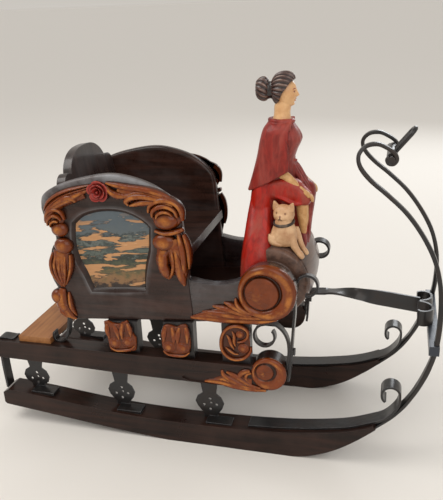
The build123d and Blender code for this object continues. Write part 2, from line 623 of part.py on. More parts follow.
def rod(a, b, ra, rb):
    """Round limb from a to b, tapering from radius ra to rb, with a ball at each end."""
    a = Vector(*a)
    b = Vector(*b)
    up = Plane(origin=a, z_dir=b - a)
    far = Plane(origin=b, z_dir=b - a)
    return loft([up * Circle(ra), far * Circle(rb)]) + Pos(*a) * Sphere(ra) + Pos(*b) * Sphere(rb)


def egg(x, y, z, a, b, c):
    """Ellipsoid of half sizes a, b, c."""
    return Pos(x, y, z) * scale(Sphere(1.0), by=(a, b, c))


roll_w = tilt(roll)
gown = loft([ring(*row) for row in GOWN])
gown += loft([ring(*row) for row in BODICE])
gown += loft([Plane(origin=(x, 0, z), x_dir=(0, 1, 0), z_dir=(1, 0, 0)) * Ellipse(a, b) for x, z, a, b in LAP])
gown += rod((313.4, 9.0, 244.0), (312.6, 9.0, 196.0), 4.4, 3.0)
gown += rod((313.4, 14.0, 244.0), (312.6, 12.6, 196.0), 4.4, 3.0)
skirt = gown - roll_w - tilt(floor_board)
cape = loft([dipped_ring(*row) for row in CAPE])
collar = Pos(291.6, 0, 314.4) * Cylinder(11.6, 3.4)
cape = (cape + collar) - skirt
neck = loft([ring(313.0, 282.4, 301.4, 9.0), ring(317.4, 285.0, 299.2, 6.2), ring(324.0, 285.6, 298.6, 5.6),
             ring(332.0, 284.4, 300.0, 6.4)])
head = egg(295.2, 0, 336.4, 9.6, 8.8, 13.0)
face = (head + neck) - cape - skirt
hair = egg(291.6, 0, 341.6, 11.4, 10.2, 15.0)
hair = hair - (Pos(304.2, 0, 334) * Rot(0, -14, 0) * Box(15, 30, 33)) - (Pos(292, 0, 315) * Box(40, 40, 22))
hair = (hair - head) - neck
bun = egg(272.9, 0, 342.0, 7.2, 7.6, 8.8)
arms = None
for s in (-1, 1):
    arm = rod((289.8, s * 15.8, 266.6), (303.8, s * 16.2, 261.0), 3.6, 4.2)
    arm += rod((303.8, s * 16.2, 261.0), (315.6, s * 14.8, 251.6), 4.2, 3.0)
    arm += Pos(317.8, s * 14.8, 248.6) * Rot(0, 42, 0) * scale(Sphere(1.0), by=(5.6, 4.4, 2.8))
    arms = arm if arms is None else arms + arm
arms = arms - cape - skirt
legs_s = None
for y in (-12.1, 3.0):
    leg = rod((309.6, y, 240.8), (313.6, y, 209.0), 4.4, 2.3)
    leg += rod((313.6, y, 209.0), (314.2, y, 201.8), 2.6, 2.9)
    leg += rod((314.2, y, 201.8), (313.2, y, 192.8), 2.9, 1.5)
    legs_s = leg if legs_s is None else legs_s + leg
legs_s = legs_s - skirt - roll_w
put("lady_skirt", skirt)
put("lady_cape", cape)
put("lady_head", face)
put("lady_hair", Compound([hair, bun]))
put("lady_arms", arms)
put("lady_legs", legs_s)

# Cat.
CAT_Y = -28.4
cat = loft([ring(194.0, 283, 309, 10, CAT_Y), ring(203.6, 284, 308, 10.4, CAT_Y), ring(212, 285, 306, 9, CAT_Y),
            ring(220, 287.6, 306, 8, CAT_Y), ring(228, 291, 304.6, 6.8, CAT_Y)])
cat += egg(298.0, CAT_Y, 233.6, 9.4, 9.4, 8.4)
for s in (-1, 1):
    cat += rod((305.6, CAT_Y + s * 4.2, 218), (312.0, CAT_Y + s * 4.2, 191.0), 3.4, 2.6)
    cat += Pos(297.4, CAT_Y + s * 6.4, 242.0) * Cone(3.2, 0.5, 6.4)
cat = cat - roll_w - skirt - cape
put("cat", cat)

for name, shape in PARTS.items():
    export_step(shape, f"parts/{name}.step")
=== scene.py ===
import bpy
import numpy as np
from mathutils import Matrix


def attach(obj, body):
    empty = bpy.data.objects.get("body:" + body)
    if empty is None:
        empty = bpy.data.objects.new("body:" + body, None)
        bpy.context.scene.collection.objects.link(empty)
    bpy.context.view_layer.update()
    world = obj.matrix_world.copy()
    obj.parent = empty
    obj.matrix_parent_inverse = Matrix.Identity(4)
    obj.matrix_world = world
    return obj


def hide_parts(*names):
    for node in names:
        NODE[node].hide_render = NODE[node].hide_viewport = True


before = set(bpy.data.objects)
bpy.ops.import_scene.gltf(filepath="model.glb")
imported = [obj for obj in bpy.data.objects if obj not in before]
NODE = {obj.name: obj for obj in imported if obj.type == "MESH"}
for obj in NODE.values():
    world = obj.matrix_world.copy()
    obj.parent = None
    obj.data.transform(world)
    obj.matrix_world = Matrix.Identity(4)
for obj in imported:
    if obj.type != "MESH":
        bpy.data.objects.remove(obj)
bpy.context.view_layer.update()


# The view: a small carved sleigh on the floor, seen from its right side, a little
# from the front and from above, under plain soft light on a pale floor.
EYE_PLACE = (0.1734, -0.5966, 0.4200)
FOCUS = 657.4 / 500
yaw, pitch, roll = np.radians([15.47, 20.95, 2.35])
ahead = np.array([-np.sin(yaw) * np.cos(pitch), np.cos(yaw) * np.cos(pitch), -np.sin(pitch)])
level = np.array([np.cos(yaw), np.sin(yaw), 0.0])
down = np.cross(ahead, level)
across = np.cos(roll) * level + np.sin(roll) * down
upward = np.sin(roll) * level - np.cos(roll) * down
eye = bpy.data.objects.new("eye", bpy.data.cameras.new("eye"))
bpy.context.collection.objects.link(eye)
turned = np.eye(4)
turned[:3, 0], turned[:3, 1], turned[:3, 2] = across, upward, -ahead
turned[:3, 3] = EYE_PLACE
eye.matrix_world = Matrix(turned.tolist())
eye.data.sensor_width = 36.0
eye.data.lens = eye.data.sensor_width * FOCUS
eye.data.clip_start = 0.01
bpy.context.scene.camera = eye
bpy.context.scene.view_settings.view_transform = "Standard"


def rgb(red, green, blue):
    """A screen colour, 0 to 255 in each part, as the linear colour that shaders take."""
    part = np.array([red, green, blue]) / 255.0
    part = np.where(part <= 0.04045, part / 12.92, ((part + 0.055) / 1.055) ** 2.4)
    return (float(part[0]), float(part[1]), float(part[2]), 1.0)


def add(tree, kind, feeds=None, **settings):
    """Adds one shader node and feeds each named input a value or another node's output."""
    made = tree.nodes.new("ShaderNode" + kind)
    for key, value in settings.items():
        setattr(made, key, value)
    for key, value in (feeds or {}).items():
        if isinstance(value, bpy.types.NodeSocket):
            tree.links.new(value, made.inputs[key])
        else:
            made.inputs[key].default_value = value
    return made


def lamp(name, place, aim, size, power, colour):
    """A square soft lamp at place, turned to aim, both in metres."""
    made = bpy.data.objects.new(name, bpy.data.lights.new(name, "AREA"))
    bpy.context.collection.objects.link(made)
    made.data.shape = "SQUARE"
    made.data.size, made.data.energy, made.data.color = size, power, colour
    back = np.array(place, float) - np.array(aim, float)
    back /= np.linalg.norm(back)
    side = np.cross([0.0, 0.0, 1.0], back)
    side /= np.linalg.norm(side)
    hang = np.eye(4)
    hang[:3, 0], hang[:3, 1], hang[:3, 2] = side, np.cross(back, side), back
    hang[:3, 3] = place
    made.matrix_world = Matrix(hang.tolist())


SLEIGH_HEART = (0.0, 0.0, 0.12)
lamp("window_lamp", (-0.75, -0.35, 1.35), SLEIGH_HEART, 0.9, 8.5, (1.0, 0.98, 0.95))
lamp("room_lamp", (0.65, -1.1, 0.95), SLEIGH_HEART, 1.1, 5.0, (1.0, 0.98, 0.96))
lamp("sky_lamp", (0.42, 1.35, 0.78), (0.0, 0.0, 0.15), 0.62, 5.0, (0.92, 0.96, 1.0))

room = bpy.data.worlds.new("room")
bpy.context.scene.world = room
room.use_nodes = True
air = room.node_tree
air.nodes.clear()
sky_seen = add(air, "Background", {"Color": rgb(203, 198, 191), "Strength": 1.0})
sky_light = add(air, "Background", {"Color": (1.0, 0.985, 0.96, 1.0), "Strength": 0.80})
ray = add(air, "LightPath")
seen = ray.outputs["Is Camera Ray"]
for other in ("Is Transmission Ray", "Is Glossy Ray"):
    seen = add(air, "Math", {0: seen, 1: ray.outputs[other]}, operation="MAXIMUM").outputs[0]
pick = add(air, "MixShader", {0: seen, 1: sky_light.outputs[0], 2: sky_seen.outputs[0]})
add(air, "OutputWorld", {"Surface": pick.outputs[0]})

floor = bpy.data.objects.new("floor", bpy.data.meshes.new("floor"))
FAR = 90
corners = [(-FAR, -FAR, 0), (FAR, -FAR, 0), (FAR, FAR, 0), (-FAR, FAR, 0)]
floor.data.from_pydata(corners, [], [(0, 1, 2, 3)])
bpy.context.collection.objects.link(floor)
pale = bpy.data.materials.new("pale_floor")
pale.use_nodes = True
pale_skin = pale.node_tree.nodes["Principled BSDF"]
pale_skin.inputs["Base Color"].default_value = rgb(222, 217, 210)
pale_skin.inputs["Roughness"].default_value = 0.9
floor.data.materials.append(pale)


# Runners and rails: sawn hardwood boards under dark brown stain and an old varnish that
# has gone blue-grey where hands and light reach it, rubbed pale along the sharp edges.
def mix(tree, share, one, two):
    """One colour passing into another by a share from 0 to 1."""
    made = add(tree, "Mix", {0: share, 6: one, 7: two}, data_type="RGBA")
    return made.outputs[2]


def spread(tree, value, low, high, to_low, to_high):
    """A value between low and high carried over to the range to_low to to_high, held at its ends."""
    feeds = {0: value, 1: low, 2: high, 3: to_low, 4: to_high}
    return add(tree, "MapRange", feeds, clamp=True).outputs[0]


def grain(tree, where, scale, detail=4.0, rough=0.55, bend=0.0):
    """Cloudy noise at a number of lumps per metre."""
    feeds = {"Vector": where, "Scale": scale, "Detail": detail, "Roughness": rough, "Distortion": bend}
    return add(tree, "TexNoise", feeds).outputs[0]


def times(tree, one, two):
    """Two shares multiplied."""
    return add(tree, "Math", {0: one, 1: two}, operation="MULTIPLY").outputs[0]


def mapped(tree, where, scale, shift=(0.0, 0.0, 0.0), turn=(0.0, 0.0, 0.0)):
    """Coordinates scaled, turned in radians and shifted."""
    feeds = {"Vector": where, "Scale": scale, "Location": shift, "Rotation": turn}
    return add(tree, "Mapping", feeds).outputs[0]


def mesh_mark(tree):
    """The 0 to 1 value that a piece's mesh carries: height on carving and hair, which their finishes paint
    as shade in the low parts and paler tops; painted shade, painted highlight and wear on the panels; paint
    marks on the face."""
    return add(tree, "Attribute", attribute_name="crest").outputs["Fac"]


def finish(name):
    """A material with only its surface shader and its output; gives both and the object's own
    coordinates."""
    made = bpy.data.materials.new(name)
    made.use_nodes = True
    tree = made.node_tree
    tree.nodes.clear()
    skin = add(tree, "BsdfPrincipled")
    add(tree, "OutputMaterial", {"Surface": skin.outputs[0]})
    return made, tree, skin, add(tree, "TexCoord").outputs["Object"]


def rubbed_edge(tree, reach, low, high):
    """A normal rounded over reach metres, and the share of wear at sharp edges: how far it turns from the
    true one."""
    soft = add(tree, "Bevel", {"Radius": reach}, samples=4).outputs[0]
    true = add(tree, "NewGeometry").outputs["Normal"]
    turn = add(tree, "VectorMath", {0: soft, 1: true}, operation="DOT_PRODUCT").outputs["Value"]
    return soft, spread(tree, turn, low, high, 1.0, 0.0)


def lay_on(tree, skin, tone, cloud, dull, bumps, normal=None, **sheen):
    """Ends a finish: its colour, a roughness between the two values of dull that follows the clouds, bumps
    (height, strength, depth in metres) one over the other, and plain values by the name of the input."""
    tree.links.new(tone, skin.inputs["Base Color"])
    tree.links.new(spread(tree, cloud, 0.3, 0.7, *dull), skin.inputs["Roughness"])
    for height, strength, depth in bumps:
        feeds = {"Height": height, "Strength": strength, "Distance": depth}
        if normal is not None:
            feeds["Normal"] = normal
        normal = add(tree, "Bump", feeds).outputs[0]
    tree.links.new(normal, skin.inputs["Normal"])
    for entry, value in sheen.items():
        skin.inputs[entry.replace("_", " ")].default_value = value


def timber(name, deep, body, film, along, clouds=0.6, worn=0.7, shine=0.40, coat=0.35, paints_light_and_wear=False,
           eased=0.0):
    """Stained boards: fibres stretched along the grain pass from deep to body, broad clouds lay a pale film
    over them, and edges are rubbed to the film's colour. A board that paints light and wear also carries a
    mark: 0 for painted shade in its cuts, 0.5 for plain wood and 1 for a pale band that is wear and painted
    highlight together. An eased board catches the light as if its edges were scraped round over that many
    metres."""
    made, tree, skin, here = finish(name)
    fibre = grain(tree, mapped(tree, here, along), 150.0, 6.0, 0.62, 0.4)
    cloud = grain(tree, here, 26.0, 4.0, 0.6)
    fleck = grain(tree, here, 420.0, 3.0, 0.6)
    tone = mix(tree, spread(tree, fibre, 0.36, 0.66, 0.0, 1.0), deep, body)
    tone = mix(tree, spread(tree, cloud, 0.42, 0.72, 0.0, clouds), tone, film)
    soft, edge = rubbed_edge(tree, 0.0010, 0.80, 0.985)
    rub = times(tree, edge, spread(tree, fleck, 0.35, 0.6, 0.15, worn))
    tone = mix(tree, rub, tone, film)
    if paints_light_and_wear:
        # Painted light: low marks darken to deep as painted shade; high marks take a pale band that is
        # partly wear, partly a painted highlight.
        light_and_wear_marks = mesh_mark(tree)
        tone = mix(tree, spread(tree, light_and_wear_marks, 0.0, 0.45, 0.8, 0.0), tone, deep)
        patches = spread(tree, cloud, 0.36, 0.58, 0.25, 1.0)
        band = times(tree, spread(tree, light_and_wear_marks, 0.55, 1.0, 0.0, 0.9), patches)
        tone = mix(tree, band, tone, rgb(134, 134, 136))
    if eased:
        soft = add(tree, "Bevel", {"Radius": eased}, samples=6).outputs[0]
    bumps = [(fibre, 0.35, 0.00035), (fleck, 0.12, 0.0003)]
    lay_on(tree, skin, tone, cloud, (shine - 0.08, shine + 0.16), bumps, soft, Specular_IOR_Level=0.2,
           Coat_Weight=coat, Coat_Roughness=0.16)
    return made


def pair(*names):
    """The CAD nodes of these names on the left and on the right."""
    return [one + side for one in names for side in ("_left", "_right")]


def dress(names, material):
    """Gives CAD nodes one finish."""
    for one in names:
        NODE[one].data.materials.clear()
        NODE[one].data.materials.append(material)


long_timber = timber("dark_stained_boards", rgb(22, 12, 9), rgb(46, 27, 20), rgb(74, 52, 44),
                     (0.07, 1.0, 1.0), 0.30, 0.6, 0.34, 0.2)
dress(pair("runner", "rail") + ["floor_board", "seat_board"], long_timber)
polished_timber = timber("polished_boards", rgb(30, 19, 16), rgb(56, 38, 33), rgb(92, 90, 94),
                         (0.07, 1.0, 1.0), 0.40, 0.55, 0.18, 1.0, eased=0.009)
dress(pair("front_side_board"), polished_timber)
upright_timber = timber("dark_stained_back", rgb(36, 28, 26), rgb(62, 48, 44), rgb(88, 84, 84),
                        (1.0, 1.0, 0.08), 0.4, 0.7, 0.30, 0.6)
dress(["back_board"], upright_timber)
black_timber = timber("black_posts", rgb(20, 17, 17), rgb(40, 34, 32), rgb(74, 72, 74), (1.0, 1.0, 0.08),
                      0.35, 0.6, 0.34, 0.4)
dress(pair("posts"), black_timber)


# Rear plank: a bare softwood board, honey coloured and waxed, nailed across both rails
# behind the body.
plank_timber = timber("honey_plank", rgb(112, 66, 34), rgb(154, 100, 56), rgb(176, 124, 78),
                      (1.0, 0.06, 1.0), 0.5, 0.5, 0.40, 0.2)
dress(["foot_board"], plank_timber)


# Ironwork: flat bar and sheet, bent hot and blackened, gone brown in the hollows and
# bright along the corners where it is handled.
def iron(name, base, warm, bare, shine=0.42):
    """Forged black iron: hammered and faintly pitted, with brown clouds and corners rubbed bare."""
    made, tree, skin, here = finish(name)
    cloud = grain(tree, here, 60.0, 4.0, 0.6)
    pit = grain(tree, here, 900.0, 3.0, 0.6)
    hammer = grain(tree, here, 210.0, 1.0, 0.4)
    tone = mix(tree, spread(tree, cloud, 0.42, 0.68, 0.0, 0.8), base, warm)
    soft, edge = rubbed_edge(tree, 0.0007, 0.78, 0.98)
    tone = mix(tree, times(tree, edge, spread(tree, pit, 0.35, 0.6, 0.3, 0.9)), tone, bare)
    bumps = [(hammer, 0.35, 0.0006), (pit, 0.2, 0.0002)]
    lay_on(tree, skin, tone, cloud, (shine - 0.06, shine + 0.14), bumps, soft, Metallic=0.4,
           Coat_Weight=0.35, Coat_Roughness=0.18)
    return made


black_iron = iron("black_iron", rgb(36, 35, 36), rgb(46, 36, 31), rgb(122, 124, 128), 0.34)
dress(pair("horn", "nose_strap", "front_strap", "arc_strap", "strap_bolt", "bracket", "rear_strap",
           "rear_loop"), black_iron)
dress(["stay", "roller", "hand_loop"], black_iron)
blue_iron = iron("blued_bar", rgb(44, 50, 60), rgb(38, 40, 46), rgb(118, 122, 130), 0.34)
dress(["cross_bar"], blue_iron)


# Side panels: thick boards sawn to a waisted outline, their top edges rounded over, with a
# shallow tray cut in the middle whose sides slope out to the face.
NOSE_UP = np.radians(4.2)
TURN_X, TURN_Z = 150.0, 129.0
HALF_LENGTH = 221.05
FIGURE_GROWTH = 1.0124
FIGURE_SHIFT = [4.89, 0.0, 5.21]


def place(points, stance="body"):
    """Building millimetres (x from the rear runner end, y to the left, z from the floor) to the frame's
    metres. Body pieces are turned nose up about one point; figures are seated a little larger, lower and
    further back."""
    moved = np.array(points, float)
    if stance == "figure":
        moved = moved * FIGURE_GROWTH - FIGURE_SHIFT
    if stance == "body":
        dx, dz = moved[..., 0] - TURN_X, moved[..., 2] - TURN_Z
        moved[..., 0] = TURN_X + dx * np.cos(NOSE_UP) - dz * np.sin(NOSE_UP)
        moved[..., 2] = TURN_Z + dx * np.sin(NOSE_UP) + dz * np.cos(NOSE_UP)
    moved[..., 0] -= HALF_LENGTH
    return moved / 1000.0


def smooth_row(rows, count):
    """A smooth run through rows of numbers: each stretch is the cubic whose end slopes are half the step
    between its neighbours."""
    rows = np.asarray(rows, float)
    last = len(rows) - 1
    at = np.linspace(0.0, last, count)
    i = np.minimum(at.astype(int), last - 1)
    t = (at - i)[:, None]
    a, b = rows[np.maximum(i - 1, 0)], rows[i]
    c, d = rows[i + 1], rows[np.minimum(i + 2, last)]
    bend, turn = 2 * a - 5 * b + 4 * c - d, 3 * b - a - 3 * c + d
    return 0.5 * (2 * b + (c - a) * t + bend * t ** 2 + turn * t ** 3)


def skin_over(name, shells, material, nodes, stance="body", crest=None, sharp=None):
    """One object from closed shells. Each shell is rings by points, closed round its rings; a fan to the
    middle of each end ring closes it, and its faces are turned outwards by the sign of its volume. crest
    gives each shell's points a 0 to 1 height for the finish."""
    spots, quads, fans, heights, base = [], [], [], [], 0
    for k, shell in enumerate(shells):
        shell = place(shell, stance)
        nu, nv = shell.shape[:2]
        ends = np.array([shell[0].mean(0), shell[-1].mean(0)])
        i, j = np.meshgrid(np.arange(nu - 1), np.arange(nv), indexing="ij")
        j2 = (j + 1) % nv
        quad = np.stack([i * nv + j, i * nv + j2, (i + 1) * nv + j2, (i + 1) * nv + j], -1).reshape(-1, 4)
        ring, after = np.arange(nv), (np.arange(nv) + 1) % nv
        tail = (nu - 1) * nv
        first = np.stack([np.full(nv, nu * nv), after, ring], -1)
        final = np.stack([np.full(nv, nu * nv + 1), tail + ring, tail + after], -1)
        fan = np.concatenate([first, final])
        spot = np.concatenate([shell.reshape(-1, 3), ends])
        tri = spot[np.concatenate([quad[:, [0, 1, 2]], quad[:, [0, 2, 3]], fan])]
        one, two, three = np.moveaxis(tri - spot.mean(0), 1, 0)
        inside = np.einsum("ij,ij->i", one, np.cross(two, three)).sum()
        if inside < 0:
            quad, fan = quad[:, ::-1], fan[:, ::-1]
        spots.append(spot)
        quads.append(quad + base)
        fans.append(fan + base)
        tall = np.ones(len(spot)) if crest is None else np.append(crest[k].reshape(-1), [0.5, 0.5])
        heights.append(tall)
        base += len(spot)
    spots, quads, fans = np.concatenate(spots), np.concatenate(quads), np.concatenate(fans)
    mesh = bpy.data.meshes.new(name)
    mesh.vertices.add(len(spots))
    mesh.vertices.foreach_set("co", spots.ravel())
    corners = np.concatenate([quads.ravel(), fans.ravel()])
    mesh.loops.add(len(corners))
    mesh.loops.foreach_set("vertex_index", corners)
    starts = np.concatenate([np.arange(len(quads)) * 4, len(quads) * 4 + np.arange(len(fans)) * 3])
    mesh.polygons.add(len(starts))
    mesh.polygons.foreach_set("loop_start", starts)
    mesh.polygons.foreach_set("use_smooth", np.ones(len(starts), bool))
    mesh.update(calc_edges=True)
    mesh.validate()
    mesh.attributes.new("crest", "FLOAT", "POINT").data.foreach_set("value", np.concatenate(heights))
    if sharp:
        mesh.set_sharp_from_angle(angle=np.radians(sharp))
    made = bpy.data.objects.new(name, mesh)
    bpy.context.collection.objects.link(made)
    mesh.materials.append(material)
    if nodes:
        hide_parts(*nodes)
    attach(made, "root")
    return made


def on_both_sides(name, pieces, material, node, stance="body", sharp=None):
    """A piece on the sleigh's right and the same one mirrored on its left. pieces pairs each shell with its
    0 to 1 marks, or with None."""
    marks = None if pieces[0][1] is None else [mark for shell, mark in pieces]
    for side, word in ((-1, "_right"), (1, "_left")):
        shells = [shell * [1, side, 1] for shell, mark in pieces]
        skin_over(name + word, shells, material, [node + word], stance, marks, sharp)


PANEL_EDGE = [
    ("line", [(88, 129.5), (218, 129.5), (218, 232)]),
    ("bend", [(218, 232), (216, 242), (207, 253.5), (193.8, 263.4), (176, 271), (157, 275.2),
              (134.9, 274.3), (105.3, 268.9), (84.3, 259.2), (79.4, 246)]),
    ("bend", [(79.4, 246), (82, 232), (88.6, 216), (80.5, 202), (75.4, 178), (81, 160), (85, 146),
              (88, 129.5)]),
]
TRAY_EDGE = [
    ("line", [(118.5, 162.1), (172.5, 162.1)]),
    ("bend", [(172.5, 162.1), (174.0, 173.0), (177.6, 187.0), (182.6, 201.0), (184.6, 213.0),
              (186.4, 223.5)]),
    ("bend", [(186.4, 223.5), (182.0, 228.8), (173.0, 235.2), (161.8, 239.6), (147.9, 241.4),
              (133.5, 240.4), (120.4, 236.6), (110.8, 229.6)]),
    ("bend", [(110.8, 229.6), (108.4, 218.3), (107.2, 206.2), (109.2, 192.0), (113.6, 180.1),
              (116.6, 168.5), (118.5, 162.1)]),
]
heart = np.array([150.0, 204.0])


def reach_at(edge, turns):
    """How far an outline lies from the panel's heart in each direction, read off its fine runs."""
    runs = []
    for kind, spots in edge:
        straight = np.concatenate([np.linspace(a, b, 80) for a, b in zip(spots, spots[1:])])
        runs.append(smooth_row(spots, 200) if kind == "bend" else straight)
    off = np.concatenate(runs) - heart
    angle, far = np.arctan2(off[:, 1], off[:, 0]), np.hypot(off[:, 0], off[:, 1])
    order = np.argsort(angle)
    return np.interp(turns, angle[order], far[order], period=2 * np.pi)


corner_spots = np.array(PANEL_EDGE[0][1] + [spots[0] for kind, spots in TRAY_EDGE]) - heart
corner_turns = np.arctan2(corner_spots[:, 1], corner_spots[:, 0])
turns = np.sort(np.append(np.linspace(-np.pi, np.pi, 520, endpoint=False), corner_turns))
outer, tray = reach_at(PANEL_EDGE, turns), reach_at(TRAY_EDGE, turns)
rays = np.stack([np.cos(turns), np.sin(turns)], -1)


def panel_ring(far, out, ripple=0.0):
    """A ring of the panel at the given distances from its heart, out millimetres from the middle plane;
    ripple is the unevenness left by the scraper."""
    x, z = (heart + rays * far[:, None]).T
    wave = np.sin(x * 0.21 + 1.3) * np.sin(z * 0.17) + 0.5 * np.sin(x * 0.55 + z * 0.43)
    return np.stack([x, np.full(len(far), out) + ripple * wave, z], -1)


def bell(value, middle, wide, power=2):
    """A hump: one at its middle, about a third at wide from it; a greater power flattens its top."""
    return np.exp(-((value - middle) / wide) ** power)


PANEL_FACE = 65.3
EDGE_ROUND = 3.4
slope = 3.4 + 1.4 * bell(np.degrees(turns), -160, 36) + 1.2 * bell(np.degrees(turns), -95, 34)
sunk = [(tray * 0.5, 60.9), (tray - 1.6, 61.2), (tray - 1.2, 61.9), (tray - 1.0 + slope * 0.3, 63.0),
        (tray - 1.0 + slope * 0.75, 64.6), (tray - 1.0 + slope, 65.1), (tray + slope, PANEL_FACE)]
panel_rings = [panel_ring(far, out) for far, out in sunk]
for share in np.linspace(0.08, 1.0, 9):
    far = tray + slope + (outer - EDGE_ROUND - tray - slope) * share
    panel_rings.append(panel_ring(far, PANEL_FACE, 0.13 * np.sin(share * np.pi)))
for angle in np.radians([20, 40, 60, 75, 90]):
    far = outer - EDGE_ROUND + EDGE_ROUND * np.sin(angle)
    panel_rings.append(panel_ring(far, 62.5 + 2.8 * np.cos(angle)))
back = [(outer, 59.3), (outer, 57.9), (outer - 0.8, 56.3), (outer - 2.4, 55.5), (outer - 4.5, 55.3),
        (outer * 0.5, 55.3)]
panel_rings += [panel_ring(far, out) for far, out in back]
panel_shell = np.array(panel_rings)
arch = np.clip((heart[1] + rays[:, 1] * outer - 236.0) / 20.0, 0.0, 1.0)
# Marks by ring: painted shade at the tray's foot and on its sloping sides, a pale band on its rim and a
# pale arch along the top edge, both wear with a painted highlight.
light_and_wear_marks = np.full(panel_shell.shape[:2], 0.5)
light_and_wear_marks[:7] = np.array([0.0, 0.0, 0.0, 0.1, 0.35, 0.78, 0.66])[:, None]
light_and_wear_marks[7] = 0.56
light_and_wear_marks[12:21] = 0.5 + np.array([0.12, 0.3, 0.42, 0.5, 0.5, 0.5, 0.45, 0.4, 0.3])[:, None] * arch
# The panel boards paint light: shade on the tray's sides, highlights mixed with wear on its rim and arch.
panel_timber = timber("panel_boards", rgb(30, 18, 14), rgb(60, 38, 31), rgb(88, 80, 78), (0.09, 1.0, 1.0),
                      0.34, 0.9, 0.30, 0.3, True)
on_both_sides("panel_board", [(panel_shell, light_and_wear_marks)], panel_timber, "side_panel", sharp=50)


# Horns: a flat bar on each side, let into the runner's nose, drawn round in a wide bow over
# the front and thinned to a small coil that holds the roller. Forged hot in one piece.
HORN = [
    # x, z, y, half width across, half thickness, squareness
    (371.0, 24.8, 60.25, 7.0, 1.3, 9), (381.0, 32.7, 60.25, 7.0, 1.3, 9), (390.0, 40.1, 60.25, 6.8, 1.3, 8),
    (398.7, 47.8, 60.25, 6.5, 1.4, 8), (407.6, 57.0, 60.25, 6.0, 1.6, 7), (416.0, 68.6, 60.25, 5.5, 1.8, 6),
    (422.6, 80.4, 60.25, 5.0, 2.0, 5), (428.3, 93.2, 60.25, 4.6, 2.2, 5), (433.1, 106.0, 59.2, 4.2, 2.3, 5),
    (437.2, 120.6, 56.8, 4.0, 2.3, 4), (439.5, 138.0, 52.4, 3.9, 2.3, 4), (439.9, 158.4, 47.6, 3.8, 2.2, 4),
    (437.8, 179.6, 43.1, 3.7, 2.1, 4), (431.8, 201.0, 40.0, 3.6, 2.0, 4), (420.9, 221.6, 38.3, 3.5, 1.9, 4),
    (406.3, 241.2, 37.6, 3.4, 1.8, 4), (389.0, 257.4, 37.3, 3.3, 1.8, 4), (374.2, 269.6, 36.4, 3.2, 1.8, 4),
    (365.0, 280.6, 34.2, 3.1, 1.8, 4), (363.4, 290.2, 31.2, 3.0, 1.8, 4), (369.2, 297.2, 28.2, 3.0, 1.8, 4),
    (378.4, 298.8, 26.4, 3.0, 1.8, 4), (386.6, 295.6, 26.0, 3.0, 1.7, 4), (393.0, 291.0, 26.0, 3.0, 1.7, 4),
    (395.5, 285.6, 26.0, 3.0, 1.6, 4), (392.8, 281.6, 26.0, 3.0, 1.5, 4), (388.6, 281.8, 26.0, 3.0, 1.4, 4),
    (386.6, 285.2, 26.0, 2.9, 1.3, 4), (388.6, 288.0, 26.0, 2.6, 1.1, 4),
]


def way_round(count):
    """Angles once round in even steps, as a row."""
    return np.linspace(0, 2 * np.pi, count, endpoint=False)[None, :]


def squarish(turn, power):
    """Cosine and sine of an angle, each raised to a power with its sign kept: 1 draws a circle, less a
    squarer ring."""
    return [np.sign(part) * np.abs(part) ** power for part in (np.cos(turn), np.sin(turn))]


def bowed_bar(rows, fine=420, round_=24):
    """A forged bar along its middle line: rings square to the run, one axis kept level across the sleigh,
    each a squared ellipse of its own half width, half thickness and squareness."""
    run = smooth_row(rows, fine)
    spine = run[:, [0, 2, 1]]
    way = np.gradient(spine, axis=0)
    way /= np.linalg.norm(way, axis=1, keepdims=True)
    out = np.array([0.0, 1.0, 0.0]) - way * way[:, 1:2]
    out /= np.linalg.norm(out, axis=1, keepdims=True)
    over = np.cross(way, out)
    c, s = squarish(way_round(round_) + np.pi / round_, 2.0 / run[:, 5:6])
    at = np.arange(fine)[:, None]
    dent = 1.0 + 0.03 * np.sin(at * 0.21) * np.sin(at * 0.083 + 1.0)
    wide, thick = (run[:, 3:4] * dent * c)[..., None], (run[:, 4:5] * dent * s)[..., None]
    return spine[:, None] + out[:, None] * wide + over[:, None] * thick


on_both_sides("horn_bar", [(bowed_bar(HORN), None)], black_iron, "horn", "level", sharp=60)


